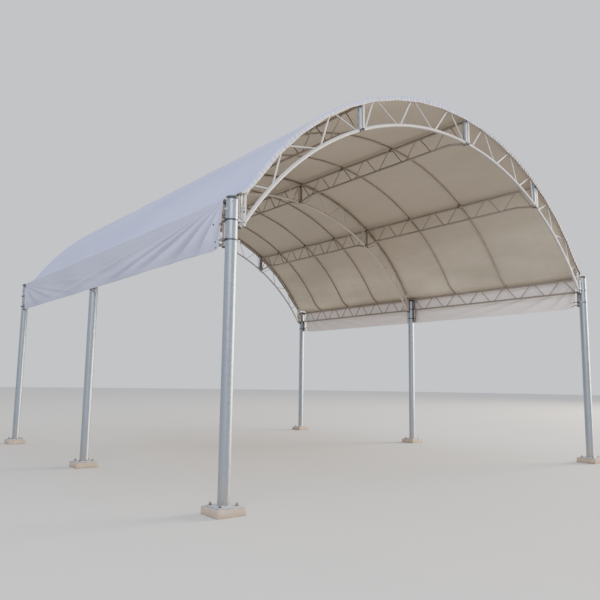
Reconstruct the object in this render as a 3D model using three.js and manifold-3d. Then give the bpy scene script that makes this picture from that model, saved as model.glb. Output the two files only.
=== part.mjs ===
// Barrel-vaulted membrane canopy: six round steel posts on small concrete pads carry three arched
// lattice trusses. Purlin trusses, eave trusses and bent ribs run between the arches, and one
// membrane lies over them, with a hanging valance along each eave.
// Millimetres, +Z up. X runs across the span, Y along the ridge from the front arch to the back
// one, and the origin is the centre of the footprint at ground level.

import * as THREE from "three";
import { mergeVertices } from "three/addons/utils/BufferGeometryUtils.js";
import Module from "manifold-3d";

const wasm = await Module();
wasm.setup();

// Layout of the posts
const SPAN = 8000;
const BAY = 4400;
const TOUCH = 0.3;

// Foundations and posts
const PAD = { side: 360, height: 90 };
const PLATE = { side: 280, thickness: 12 };
const POST_OD = 139.8;
const CORNER_POST_TOP = 3540;
const MIDDLE_POST_TOP = 3490;
const COLLAR = { overhang: 8, height: 26, heights: [3030, 3262] };
const CLAMP_BOLT = { diameter: 14, reach: { left: 30, right: 78 }, heights: [3030, 3262, 3385, 3505] };
const CLAMP_NUT = { across: 28, height: 14 };

// Arched trusses: both chords are arcs of a circle in the plane of their posts
const ARCH_CHORD_OD = 48.3;
const TOP_CHORD_RADIUS = 4480;
const TOP_CHORD_CROWN = 5760;
const BOTTOM_CHORD_CROWN = 5350;
const BOTTOM_CHORD_END = 3270;
const ARCH_END_X = 3829;
const UPRIGHT_OD = 33.7;
const SPLICE_BAR = { width: 36, depth: 48 };
const SPLICE_TONGUE = 24;
const ARCH_WEB = 20;
const ARCH_WEB_SPREAD = 30;
const HAUNCH_PANELS = [0.05, 0.25, 0.36, 0.665, 0.77, 1];
const CROWN_PANELS = {
  left: [0, 0.1, 0.325, 0.46, 0.665, 0.83, 1],
  right: [0.03, 0.2, 0.37, 0.59, 0.72, 0.94, 1],
};
const STUB_OD = 60.3;
const STUB_BOTTOM = 3190;
const CORNER_STUB_TOP = 3590;
const MIDDLE_STUB_TOP = 3540;

// Where the three purlins cross the arches, from left to right
const PURLIN_X = [-1950, 430, 2430];

// Purlin and eave trusses
const LINE_CHORD_OD = 42.4;
const PURLIN_DEPTH = 300;
const EAVE_DEPTH = 260;
const EAVE_TOP = 3500;
const LINE_WEB = 16;
const LINE_WEB_SPREAD = 45;
const EAVE_STUB_OD = 60.3;
const EAVE_STUB_BOTTOM = 2955;
const EAVE_STUB_TOP = 3266;
const EAVE_STUB_OUT = 27;

// Panels of the purlin and eave trusses in each bay, and the panel points that carry a rib
const FRONT_BAY = { panels: 6.5, ribs: [2.5, 4.5] };
const BACK_BAY = { panels: 7.5, ribs: [2, 4, 6] };
const RIB_OD = 33.7;
const RIB_SEAT = 35;

// Membrane
const MEMBRANE = 5;
const FLARE_START_X = 3760;
const EAVE_SLOPE = 20 * (Math.PI / 180);
const FOLD = { x: 4098, z: 3492 };
const OVERHANG = 34;
const HEM_DEPTH = 62;
const HEM_END_X = 3860;
const CORNER_NOTCH = { x: 3905, y: 128 };

// Near the posts the fold and the valance are drawn in, and the end of the valance slants
const VALANCE_BOTTOM = 2930;
const DRAWN_IN = { from: 3850, x: 4036 };
const VALANCE_END = { top: 4280, bottom: 4205 };

// Worked out from the sizes above
const POST_X = SPAN / 2;
const POST_R = POST_OD / 2;
const STUB_R = STUB_OD / 2;
const STUB_X = POST_X - POST_R - TOUCH - STUB_R;
const EAVE_STUB_Y = Math.sqrt((POST_R + TOUCH + EAVE_STUB_OD / 2) ** 2 - EAVE_STUB_OUT ** 2);
const PLATE_TOP = PAD.height + TOUCH + PLATE.thickness;
const TOP_CENTRE = TOP_CHORD_CROWN - TOP_CHORD_RADIUS;
const BOTTOM_RISE = BOTTOM_CHORD_CROWN - BOTTOM_CHORD_END;
const BOTTOM_CHORD_RADIUS = (ARCH_END_X ** 2 + BOTTOM_RISE ** 2) / (2 * BOTTOM_RISE);
const BOTTOM_CENTRE = BOTTOM_CHORD_CROWN - BOTTOM_CHORD_RADIUS;
const MEMBRANE_RADIUS = TOP_CHORD_RADIUS + ARCH_CHORD_OD / 2 + TOUCH;
const RIB_DROP = TOUCH + RIB_OD / 2;
const SPLICE_CUT = SPLICE_TONGUE / 2 + TOUCH;
const LINE_DROP = RIB_DROP + RIB_OD / 2 + 3 * TOUCH + LINE_CHORD_OD / 2;
const ARCH_ROWS = { front: -BAY, middle: 0, back: BAY };
const SIDES = { left: -1, right: 1 };

// Materials
const concrete = new THREE.MeshStandardMaterial({ color: 0xb9ad9c, roughness: 0.9, metalness: 0 });
const galvanised = new THREE.MeshStandardMaterial({ color: 0xb4bac4, roughness: 0.45, metalness: 0.8 });
const fabric = new THREE.MeshStandardMaterial({ color: 0xdcdde4, roughness: 0.6, metalness: 0 });

const canopy = new THREE.Group();
canopy.name = "membrane_canopy";

function addMesh(name, geometry, material) {
  const mesh = new THREE.Mesh(geometry, material);
  mesh.name = name;
  canopy.add(mesh);
}

// A closed geometry as a solid that can be joined and cut, turned right side out if need be.
function solidOf(geometry) {
  const bare = geometry.clone();
  bare.deleteAttribute("normal");
  bare.deleteAttribute("uv");
  const merged = mergeVertices(bare, 1e-3);
  const triVerts = new Uint32Array(merged.index.array);
  const vertProperties = merged.attributes.position.array;
  const solid = new wasm.Manifold(new wasm.Mesh({ numProp: 3, vertProperties, triVerts }));
  if (solid.volume() > 0) return solid;
  for (let i = 0; i < triVerts.length; i += 3) {
    [triVerts[i + 1], triVerts[i + 2]] = [triVerts[i + 2], triVerts[i + 1]];
  }
  return new wasm.Manifold(new wasm.Mesh({ numProp: 3, vertProperties, triVerts }));
}

// The faces of a solid as a geometry. Slivers under a few hundredths of a millimetre are closed up.
function geometryOf(solid) {
  const mesh = solid.asOriginal().simplify(0.03).getMesh();
  const positions = new Float32Array(mesh.numVert * 3);
  for (let i = 0; i < mesh.numVert; i++) {
    positions.set(mesh.vertProperties.subarray(i * mesh.numProp, i * mesh.numProp + 3), i * 3);
  }
  const geometry = new THREE.BufferGeometry();
  geometry.setAttribute("position", new THREE.BufferAttribute(positions, 3));
  geometry.setIndex(new THREE.BufferAttribute(new Uint32Array(mesh.triVerts), 1));
  geometry.computeVertexNormals();
  return geometry;
}

function join(solids) {
  return solids.reduce((whole, solid) => whole.add(solid));
}

// A straight round or square bar between two points.
function bar(from, to, diameter, sides = 6) {
  const along = new THREE.Vector3().subVectors(to, from);
  const geometry = new THREE.CylinderGeometry(diameter / 2, diameter / 2, along.length(), sides);
  geometry.rotateY(Math.PI / sides);
  geometry.translate(0, along.length() / 2, 0);
  const turn = new THREE.Quaternion();
  turn.setFromUnitVectors(new THREE.Vector3(0, 1, 0), along.normalize());
  geometry.applyQuaternion(turn);
  geometry.translate(from.x, from.y, from.z);
  return solidOf(geometry);
}

function upright(x, y, bottom, top, diameter, sides = 6) {
  const geometry = new THREE.CylinderGeometry(diameter / 2, diameter / 2, top - bottom, sides);
  geometry.rotateX(Math.PI / 2);
  geometry.translate(x, y, (top + bottom) / 2);
  return solidOf(geometry);
}

// A path in a plane of constant y through given [x, z] points, with one step per point.
class PlanePath extends THREE.Curve {
  constructor(points, y) {
    super();
    this.points = points;
    this.y = y;
  }
  getPoint(t) {
    const last = this.points.length - 1;
    const k = Math.min(Math.round(t * last), last);
    const [x, z] = this.points[k];
    return new THREE.Vector3(x, this.y, z);
  }
  getPointAt(t) {
    return this.getPoint(t);
  }
  getTangentAt(t) {
    const last = this.points.length - 1;
    const k = Math.round(t * last);
    const [x0, z0] = this.points[Math.max(k - 1, 0)];
    const [x1, z1] = this.points[Math.min(k + 1, last)];
    return new THREE.Vector3(x1 - x0, 0, z1 - z0).normalize();
  }
}

// A round bar bent along [x, z] points, with a corner of its section at the top.
function bentBar(points, y, diameter, sides = 6) {
  const section = new THREE.Shape();
  for (let k = 0; k < sides; k++) {
    const angle = (k / sides + 1 / 4) * 2 * Math.PI;
    const corner = [(diameter / 2) * Math.cos(angle), (diameter / 2) * Math.sin(angle)];
    if (k === 0) section.moveTo(...corner);
    else section.lineTo(...corner);
  }
  const extrudePath = new PlanePath(points, y);
  return solidOf(new THREE.ExtrudeGeometry(section, { steps: points.length - 1, extrudePath }));
}

// Points of a circular arc about x = 0, between two angles measured from its crown.
function arcPoints(radius, centre, from, to, steps) {
  const points = [];
  for (let k = 0; k <= steps; k++) {
    const angle = from + ((to - from) * k) / steps;
    points.push([radius * Math.sin(angle), centre + radius * Math.cos(angle)]);
  }
  return points;
}

function arcHeight(radius, centre, x) {
  return centre + Math.sqrt(radius ** 2 - x ** 2);
}

// Concrete pads
function addPad(name, x, y) {
  const pad = new THREE.BoxGeometry(PAD.side, PAD.side, PAD.height);
  pad.translate(x, y, PAD.height / 2);
  addMesh(name, pad, concrete);
}

// Which ways the eave trusses leave a row of posts: forwards is -1 and backwards +1.
function eaveWays(row) {
  return { front: [1], middle: [-1, 1], back: [-1] }[row];
}

// The bolts of the clamps, which stick out of a corner post on its outer side, with their nuts
function clampBolts(x, y, side) {
  return CLAMP_BOLT.heights.flatMap((z) => {
    const at = (distance) => new THREE.Vector3(x + SIDES[side] * distance, y, z);
    const stem = bar(at(0), at(POST_R + CLAMP_BOLT.reach[side]), CLAMP_BOLT.diameter);
    const nut = bar(at(POST_R - 10), at(POST_R + CLAMP_NUT.height), CLAMP_NUT.across);
    return [stem, nut];
  });
}

// Posts: a pipe on a base plate, with the clamp collars that hold the stubs beside it
function addPost(row, side) {
  const x = SIDES[side] * POST_X;
  const y = ARCH_ROWS[row];
  const top = row === "middle" ? MIDDLE_POST_TOP : CORNER_POST_TOP;
  let collars = join(
    COLLAR.heights.map((z) => {
      const [bottom, over] = [z - COLLAR.height / 2, z + COLLAR.height / 2];
      return upright(x, y, bottom, over, POST_OD + 2 * COLLAR.overhang, 16);
    }),
  );
  const spaceTop = top + 1;
  collars = collars.subtract(
    upright(SIDES[side] * STUB_X, y, PLATE_TOP, spaceTop, STUB_OD + 2 * TOUCH, 16),
  );
  for (const way of eaveWays(row)) {
    const [spaceX, spaceY] = [x + SIDES[side] * EAVE_STUB_OUT, y + way * EAVE_STUB_Y];
    const across = EAVE_STUB_OD + 2 * TOUCH;
    collars = collars.subtract(upright(spaceX, spaceY, PLATE_TOP, spaceTop, across, 12));
  }
  const pipe = upright(x, y, PAD.height + TOUCH + 1, top, POST_OD, 16);
  const plate = new THREE.BoxGeometry(PLATE.side, PLATE.side, PLATE.thickness);
  plate.translate(x, y, PAD.height + TOUCH + PLATE.thickness / 2);
  const bolts = row === "middle" ? [] : clampBolts(x, y, side);
  const post = join([pipe, solidOf(plate), collars, ...bolts]);
  addMesh(`post_${row}_${side}`, geometryOf(post), galvanised);
}

// Arched trusses

// A point on the top or bottom chord, at a share of the way between two x positions.
function chordPoint(chord, x0, x1, share, y, shift = 0) {
  const [radius, centre] =
    chord === "top" ? [TOP_CHORD_RADIUS, TOP_CENTRE] : [BOTTOM_CHORD_RADIUS, BOTTOM_CENTRE];
  const from = Math.asin(x0 / radius);
  const to = Math.asin(x1 / radius);
  const angle = from + (to - from) * share + shift / radius;
  return new THREE.Vector3(radius * Math.sin(angle), y, centre + radius * Math.cos(angle));
}

// The zigzag of diagonals through panel points that lie on the two chords in turn. At each one
// the two diagonals stand a little apart.
function archWebs(x0, x1, y, panels, firstChord) {
  const towards = Math.sign(x1 - x0);
  const chords = firstChord === "top" ? ["top", "bottom"] : ["bottom", "top"];
  const webs = [];
  for (let k = 0; k + 1 < panels.length; k++) {
    const spread = towards * ARCH_WEB_SPREAD;
    const a = chordPoint(chords[k % 2], x0, x1, panels[k], y, spread);
    const b = chordPoint(chords[(k + 1) % 2], x0, x1, panels[k + 1], y, -spread);
    webs.push(bar(a, b, ARCH_WEB, 4));
  }
  return webs;
}

// Both chords of one truss piece, between two x positions.
function archChords(x0, x1, y, steps) {
  const chords = [];
  for (const [radius, centre] of [
    [TOP_CHORD_RADIUS, TOP_CENTRE],
    [BOTTOM_CHORD_RADIUS, BOTTOM_CENTRE],
  ]) {
    const points = arcPoints(radius, centre, Math.asin(x0 / radius), Math.asin(x1 / radius), steps);
    chords.push(bentBar(points, y, ARCH_CHORD_OD));
  }
  return chords;
}

// The flat bar between the chords beside a splice, on the side that towards points to.
function spliceBar(splice, towards, y) {
  const x = splice + towards * (SPLICE_CUT + SPLICE_BAR.width / 2);
  const bottom = arcHeight(BOTTOM_CHORD_RADIUS, BOTTOM_CENTRE, x);
  const top = arcHeight(TOP_CHORD_RADIUS, TOP_CENTRE, x);
  const geometry = new THREE.BoxGeometry(SPLICE_BAR.width, SPLICE_BAR.depth, top - bottom);
  geometry.translate(x, y, (top + bottom) / 2);
  return solidOf(geometry);
}

// Cuts a truss piece off square at a splice, keeping the side that towards points to.
function cutAtSplice(solid, splice, towards) {
  return solid.trimByPlane([towards, 0, 0], towards * splice + SPLICE_CUT);
}

// A crown piece lies between two splices
function addCrownPiece(row, side, x0, x1) {
  const y = ARCH_ROWS[row];
  const reach = SPLICE_CUT + SPLICE_BAR.width;
  const webs = archWebs(x0 + reach, x1 - reach, y, CROWN_PANELS[side], "bottom");
  const chords = archChords(x0 - SPLICE_CUT, x1 + SPLICE_CUT, y, 6);
  let piece = join([...chords, spliceBar(x0, 1, y), spliceBar(x1, -1, y), ...webs]);
  piece = cutAtSplice(cutAtSplice(piece, x0, 1), x1, -1);
  addMesh(`${row}_arch_${side}_crown`, geometryOf(piece), galvanised);
}

// A haunch piece runs from a splice down to the posts, where its stub is clamped to the post.
function addHaunchPiece(row, side, splice) {
  const sign = SIDES[side];
  const y = ARCH_ROWS[row];
  const end = sign * ARCH_END_X;
  const stubTop = row === "middle" ? MIDDLE_STUB_TOP : CORNER_STUB_TOP;
  const inner = splice + sign * (SPLICE_CUT + SPLICE_BAR.width);
  const webs = archWebs(end, inner, y, HAUNCH_PANELS, "top");
  const endTop = arcHeight(TOP_CHORD_RADIUS, TOP_CENTRE, ARCH_END_X);
  const pieces = [
    ...archChords(end, splice - sign * SPLICE_CUT, y, 7),
    spliceBar(splice, sign, y),
    upright(end, y, BOTTOM_CHORD_END - 45, endTop, UPRIGHT_OD),
    upright(sign * STUB_X, y, STUB_BOTTOM, stubTop, STUB_OD, 16),
  ];
  for (const z of [BOTTOM_CHORD_END, (BOTTOM_CHORD_END + stubTop) / 2, stubTop - 45]) {
    const cleat = new THREE.BoxGeometry(Math.abs(STUB_X - ARCH_END_X), 10, 60);
    cleat.translate((sign * (STUB_X + ARCH_END_X)) / 2, y, z);
    pieces.push(solidOf(cleat));
  }
  const piece = cutAtSplice(join([...pieces, ...webs]), splice, sign);
  addMesh(`${row}_arch_${side}_haunch`, geometryOf(piece), galvanised);
}

// Purlin and eave trusses, which run along the ridge between two arches

// Panel points of a bay. The top chord has one at the middle arch and the bottom chord has one
// at the outer arch, half a panel further on.
function panelPoints(bay) {
  const points = [];
  const atMiddle = bay === "front" ? FRONT_BAY.panels : 0;
  const { panels } = bay === "front" ? FRONT_BAY : BACK_BAY;
  for (let k = 0; k <= panels * 2; k++) {
    const place = k / 2;
    const onTop = Number.isInteger(place - atMiddle);
    points.push({ place: place / panels, onTop });
  }
  return points;
}

// One truss in a plane of constant x. ends.bottom is the height of the bottom chord where the
// truss meets an arch, which can lie lower than the rest of the bottom chord.
function lineTruss(x, y0, y1, top, bottom, ends, bay) {
  const length = y1 - y0;
  const dip = length / (2 * (bay === "front" ? FRONT_BAY : BACK_BAY).panels);
  const point = (y, z) => new THREE.Vector3(x, y, z);
  const pieces = [bar(point(y0, top), point(y1, top), LINE_CHORD_OD)];
  pieces.push(bar(point(y0, ends), point(y0 + dip, bottom), LINE_CHORD_OD));
  pieces.push(bar(point(y0 + dip, bottom), point(y1 - dip, bottom), LINE_CHORD_OD));
  pieces.push(bar(point(y1 - dip, bottom), point(y1, ends), LINE_CHORD_OD));
  const points = panelPoints(bay);
  for (let k = 0; k + 1 < points.length; k++) {
    const a = points[k];
    const b = points[k + 1];
    const first = point(y0 + length * a.place + LINE_WEB_SPREAD, a.onTop ? top : bottom);
    const second = point(y0 + length * b.place - LINE_WEB_SPREAD, b.onTop ? top : bottom);
    if (k === 0 && !a.onTop) first.z = ends;
    if (k + 2 === points.length && !b.onTop) second.z = ends;
    pieces.push(bar(first, second, LINE_WEB, 4));
  }
  return join(pieces).trimByPlane([0, 1, 0], y0).trimByPlane([0, -1, 0], -y1);
}

function bayEnds(bay) {
  return bay === "front" ? [ARCH_ROWS.front, ARCH_ROWS.middle] : [ARCH_ROWS.middle, ARCH_ROWS.back];
}

// The flat tongue at the end of a purlin, held between the arch pieces at a splice. On the middle
// arch the tongues of the two bays share the depth of the splice.
function purlinTongue(x, row, into) {
  const reach = Math.abs(x) + SPLICE_TONGUE / 2;
  const bottom = arcHeight(BOTTOM_CHORD_RADIUS, BOTTOM_CENTRE, x) - ARCH_CHORD_OD / 2;
  const top = arcHeight(TOP_CHORD_RADIUS, TOP_CENTRE, reach);
  const start = row === "middle" ? TOUCH / 2 : -ARCH_CHORD_OD / 2;
  const depth = ARCH_CHORD_OD / 2 + TOUCH + UPRIGHT_OD - start;
  const geometry = new THREE.BoxGeometry(SPLICE_TONGUE, depth, top - bottom);
  geometry.translate(x, ARCH_ROWS[row] + into * (start + depth / 2), (top + bottom) / 2);
  return solidOf(geometry);
}

function addPurlin(name, x, bay) {
  const rows = bay === "front" ? ["front", "middle"] : ["middle", "back"];
  const inset = ARCH_CHORD_OD / 2 + TOUCH;
  const y0 = ARCH_ROWS[rows[0]] + inset;
  const y1 = ARCH_ROWS[rows[1]] - inset;
  const top = arcHeight(MEMBRANE_RADIUS - LINE_DROP, TOP_CENTRE, x);
  const atArch = arcHeight(BOTTOM_CHORD_RADIUS, BOTTOM_CENTRE, x);
  const pieces = [lineTruss(x, y0, y1, top, top - PURLIN_DEPTH, atArch, bay)];
  pieces.push(purlinTongue(x, rows[0], 1), purlinTongue(x, rows[1], -1));
  addMesh(name, geometryOf(join(pieces)), galvanised);
}

function addEaveTruss(side, bay) {
  const x = SIDES[side] * POST_X;
  const [start, end] = bayEnds(bay);
  const y0 = start + EAVE_STUB_Y;
  const y1 = end - EAVE_STUB_Y;
  const bottom = EAVE_TOP - EAVE_DEPTH;
  const pieces = [lineTruss(x, y0, y1, EAVE_TOP, bottom, bottom, bay)];
  const stubX = x + SIDES[side] * EAVE_STUB_OUT;
  for (const y of [y0, y1]) {
    const head = EAVE_TOP + LINE_CHORD_OD / 2 + 8;
    pieces.push(upright(stubX, y, EAVE_STUB_BOTTOM, EAVE_STUB_TOP, EAVE_STUB_OD, 12));
    pieces.push(upright(stubX, y, EAVE_STUB_TOP - 1, head, UPRIGHT_OD, 12));
  }
  addMesh(`eave_truss_${side}_${bay}_bay`, geometryOf(join(pieces)), galvanised);
}

// Roof line: the inner face of the membrane from the ridge to one fold, as a function of x. It is
// an arc that flares out to pass over the top chord of the eave truss.
const EAVE_CREST = {
  x: POST_X + LINE_DROP * Math.sin(EAVE_SLOPE),
  z: EAVE_TOP + LINE_DROP * Math.cos(EAVE_SLOPE),
};

const FLARE = [3795, 3830, 3870, 3920, 3970, EAVE_CREST.x];

function roofHeight(x) {
  const reach = Math.abs(x);
  if (reach <= FLARE_START_X) return arcHeight(MEMBRANE_RADIUS, TOP_CENTRE, reach);
  if (reach >= EAVE_CREST.x) {
    const share = (reach - EAVE_CREST.x) / (FOLD.x - EAVE_CREST.x);
    return EAVE_CREST.z + share * (FOLD.z - EAVE_CREST.z);
  }
  const run = EAVE_CREST.x - FLARE_START_X;
  const t = (reach - FLARE_START_X) / run;
  const startHeight = arcHeight(MEMBRANE_RADIUS, TOP_CENTRE, FLARE_START_X);
  const startSlope = -FLARE_START_X / (startHeight - TOP_CENTRE);
  const endSlope = -Math.tan(EAVE_SLOPE);
  return (
    (2 * t ** 3 - 3 * t ** 2 + 1) * startHeight +
    (t ** 3 - 2 * t ** 2 + t) * run * startSlope +
    (-2 * t ** 3 + 3 * t ** 2) * EAVE_CREST.z +
    (t ** 3 - t ** 2) * run * endSlope
  );
}

// Points of the roof line moved outwards along its normal, at the given x positions.
function roofLine(positions, outwards) {
  const step = 0.5;
  return positions.map((x) => {
    const slope = (roofHeight(x + step) - roofHeight(x - step)) / (2 * step);
    const length = Math.hypot(1, slope);
    return [x - (outwards * slope) / length, roofHeight(x) + outwards / length];
  });
}

function arcPositions(from, to, steps) {
  return arcPoints(
    MEMBRANE_RADIUS,
    TOP_CENTRE,
    Math.asin(from / MEMBRANE_RADIUS),
    Math.asin(to / MEMBRANE_RADIUS),
    steps,
  ).map(([x]) => x);
}

// Ribs: bent pipes under the membrane, which rest on the purlins and the eave trusses. Each has a
// short straight stretch where it lies on a purlin.
function addRib(name, y) {
  const stretches = [
    [-FLARE_START_X, PURLIN_X[0] - RIB_SEAT, 6],
    [PURLIN_X[0] + RIB_SEAT, PURLIN_X[1] - RIB_SEAT, 6],
    [PURLIN_X[1] + RIB_SEAT, PURLIN_X[2] - RIB_SEAT, 5],
    [PURLIN_X[2] + RIB_SEAT, FLARE_START_X, 5],
  ];
  const arc = stretches.flatMap(([from, to, steps]) => arcPositions(from, to, steps));
  const positions = [...FLARE.map((x) => -x).reverse(), ...arc, ...FLARE];
  addMesh(name, geometryOf(bentBar(roofLine(positions, -RIB_DROP), y, RIB_OD)), galvanised);
}

// Membrane: a thin arched shell with a hem turned down in front of the two outer arches
function sheetBetween(inner, outer, y0, y1) {
  const outline = new THREE.Shape();
  const loop = [...inner, ...[...outer].reverse()];
  loop.forEach(([x, z], k) => (k === 0 ? outline.moveTo(x, z) : outline.lineTo(x, z)));
  const geometry = new THREE.ExtrudeGeometry(outline, { depth: y1 - y0, bevelEnabled: false });
  geometry.rotateX(Math.PI / 2);
  geometry.translate(0, y1, 0);
  return solidOf(geometry);
}

function addRoofMembrane() {
  const steps = 40;
  const half = Math.asin(FLARE_START_X / MEMBRANE_RADIUS);
  const stand = MEMBRANE_RADIUS * (1 / Math.cos(half / steps) - 1);
  const arc = arcPositions(-FLARE_START_X, FLARE_START_X, steps);
  const edge = [...FLARE, FOLD.x];
  const positions = [...edge.map((x) => -x).reverse(), ...arc, ...edge];
  const roof = sheetBetween(
    roofLine(positions, stand),
    roofLine(positions, stand + MEMBRANE),
    ARCH_ROWS.front - OVERHANG,
    ARCH_ROWS.back + OVERHANG,
  );
  const hemPositions = [-HEM_END_X, ...arc, HEM_END_X];
  const hems = [
    [ARCH_ROWS.front - OVERHANG, ARCH_ROWS.front - OVERHANG + MEMBRANE],
    [ARCH_ROWS.back + OVERHANG - MEMBRANE, ARCH_ROWS.back + OVERHANG],
  ].map(([y0, y1]) =>
    sheetBetween(roofLine(hemPositions, -HEM_DEPTH), roofLine(hemPositions, stand + 1), y0, y1),
  );
  let membrane = join([roof, ...hems]);
  for (const sign of [-1, 1]) {
    for (const row of ["front", "back"]) {
      const notch = new THREE.BoxGeometry(SPAN, 2 * CORNER_NOTCH.y, 4000);
      notch.translate(sign * (CORNER_NOTCH.x + SPAN / 2), ARCH_ROWS[row], CORNER_POST_TOP);
      membrane = membrane.subtract(solidOf(notch));
      membrane = membrane.subtract(spaceBesideFold(sign, Math.sign(ARCH_ROWS[row])));
    }
  }
  addMesh("roof_membrane", geometryOf(membrane), fabric);
}

// The x position of the fold at the end of the roof, on the line along which it is drawn in.
function drawnIn(y) {
  return FOLD.x + ((y - DRAWN_IN.from) / (VALANCE_END.top - DRAWN_IN.from)) * (DRAWN_IN.x - FOLD.x);
}

// The space outside the drawn-in fold at one corner of the roof
function spaceBesideFold(sign, way) {
  const points = [];
  for (const z of [FOLD.z - 100, FOLD.z + 200]) {
    for (const y of [DRAWN_IN.from, BAY + OVERHANG + 100]) {
      points.push([sign * (drawnIn(y) + MEMBRANE), way * y, z]);
      points.push([sign * (FOLD.x + 200), way * y, z]);
    }
  }
  return wasm.Manifold.hull(points);
}

// Valances: a long straight panel, and at each end one that follows the drawn-in fold
function addValance(side) {
  const sign = SIDES[side];
  const edge = FOLD.z + 0.9;
  const panel = new THREE.BoxGeometry(MEMBRANE, 2 * DRAWN_IN.from, edge - VALANCE_BOTTOM);
  panel.translate(sign * (FOLD.x + MEMBRANE / 2), 0, (edge + VALANCE_BOTTOM) / 2);
  const pieces = [solidOf(panel)];
  const below = (y) => roofHeight(drawnIn(y) + MEMBRANE) + 0.9;
  for (const way of [-1, 1]) {
    const points = [];
    for (const [y, z] of [
      [DRAWN_IN.from, VALANCE_BOTTOM],
      [DRAWN_IN.from, below(DRAWN_IN.from)],
      [VALANCE_END.bottom, VALANCE_BOTTOM],
      [VALANCE_END.top, below(VALANCE_END.top)],
    ]) {
      points.push([sign * drawnIn(y), way * y, z], [sign * (drawnIn(y) + MEMBRANE), way * y, z]);
    }
    pieces.push(wasm.Manifold.hull(points));
  }
  addMesh(`valance_${side}`, geometryOf(join(pieces)), fabric);
}

for (const row of Object.keys(ARCH_ROWS)) {
  for (const side of Object.keys(SIDES)) {
    addPad(`pad_${row}_${side}`, SIDES[side] * POST_X, ARCH_ROWS[row]);
    addPost(row, side);
  }
  addHaunchPiece(row, "left", PURLIN_X[0]);
  addCrownPiece(row, "left", PURLIN_X[0], PURLIN_X[1]);
  addCrownPiece(row, "right", PURLIN_X[1], PURLIN_X[2]);
  addHaunchPiece(row, "right", PURLIN_X[2]);
}

for (const bay of ["front", "back"]) {
  addPurlin(`left_purlin_${bay}_bay`, PURLIN_X[0], bay);
  addPurlin(`ridge_purlin_${bay}_bay`, PURLIN_X[1], bay);
  addPurlin(`right_purlin_${bay}_bay`, PURLIN_X[2], bay);
  addEaveTruss("left", bay);
  addEaveTruss("right", bay);
}

FRONT_BAY.ribs.forEach((place, k) => {
  addRib(`front_bay_rib_${k + 1}`, ARCH_ROWS.front + (BAY * place) / FRONT_BAY.panels);
});
BACK_BAY.ribs.forEach((place, k) => {
  addRib(`back_bay_rib_${k + 1}`, ARCH_ROWS.middle + (BAY * place) / BACK_BAY.panels);
});

addRoofMembrane();
addValance("left");
addValance("right");

export default canopy;
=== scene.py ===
"""Barrel-vaulted membrane canopy on galvanised steel posts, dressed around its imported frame.

Metres, +Z up. X runs across the span, Y along the ridge from the front arch to the back one.
"""

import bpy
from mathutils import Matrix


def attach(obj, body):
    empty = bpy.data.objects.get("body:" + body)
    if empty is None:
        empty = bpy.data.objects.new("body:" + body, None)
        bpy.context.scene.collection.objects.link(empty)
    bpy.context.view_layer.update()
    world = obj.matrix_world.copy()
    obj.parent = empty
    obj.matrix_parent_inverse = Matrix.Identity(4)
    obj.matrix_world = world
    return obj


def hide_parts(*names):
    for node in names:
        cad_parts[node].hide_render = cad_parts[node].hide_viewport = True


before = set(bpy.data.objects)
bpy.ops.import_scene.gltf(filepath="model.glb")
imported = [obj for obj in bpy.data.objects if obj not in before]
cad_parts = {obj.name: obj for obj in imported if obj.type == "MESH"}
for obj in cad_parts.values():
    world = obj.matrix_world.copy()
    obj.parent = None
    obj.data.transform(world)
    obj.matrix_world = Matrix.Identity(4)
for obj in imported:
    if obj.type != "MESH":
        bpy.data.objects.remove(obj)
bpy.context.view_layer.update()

import math

import bpy
import numpy as np
from bpy.props import FloatProperty, FloatVectorProperty, IntProperty, PointerProperty
from mathutils import Matrix, Vector

bl_info = {
    "name": "Membrane Canopy",
    "version": (1, 0, 0),
    "blender": (4, 5, 0),
    "location": "View3D > Sidebar > Canopy",
    "description": "Builds a barrel-vaulted membrane canopy on steel posts",
    "category": "Add Mesh",
}

# Layout
POST_X, BAY = 4.0, 4.4
ROWS = {"front": -BAY, "middle": 0.0, "back": BAY}
SIDES = {"left": -1, "right": 1}
OUTSIDE = {"front": -1, "middle": -1, "back": 1}
BAYS = {"front": ("front", "middle"), "back": ("middle", "back")}
PANELS = {"front": 6.5, "back": 7.5}
PURLIN_X = {"left": -1.95, "ridge": 0.43, "right": 2.43}
RIB_Y = {
    **{f"front_bay_rib_{k}": -BAY + BAY * (2 * k + 0.5) / PANELS["front"] for k in (1, 2)},
    **{f"back_bay_rib_{k}": BAY * 2 * k / PANELS["back"] for k in (1, 2, 3)},
}
UP = (0, 0, 1)

# Material numbers: of the posts and arches, and of the fittings and capped pipes on other steel
COAT, PLATE, DARK, STUB, TOP = range(5)
FITTING, CAPPED = 1, 2

# Feet and posts: heights are above the ground, and CLAMP_GAP is in degrees
PAD_SIDE, PAD_HEIGHT = 0.360, 0.090
PLATE_SIDE, PLATE_BOTTOM, PLATE_TOP, ANCHOR_REACH = 0.280, 0.0903, 0.1023, 0.105
POST_RADIUS = 0.0699
POST_TOP = {"front": 3.540, "middle": 3.490, "back": 3.540}
BAND_HEIGHTS, BOLT_HEIGHTS = (3.030, 3.262), (3.030, 3.262, 3.385, 3.505)
BRIGHT_FROM, SCREW_HEIGHT, LUG_HEIGHT = 3.3, 3.474, 3.478
BOLT_REACH = {"left": 0.030, "right": 0.078}
CLAMP_GAP = 15.5

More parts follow.
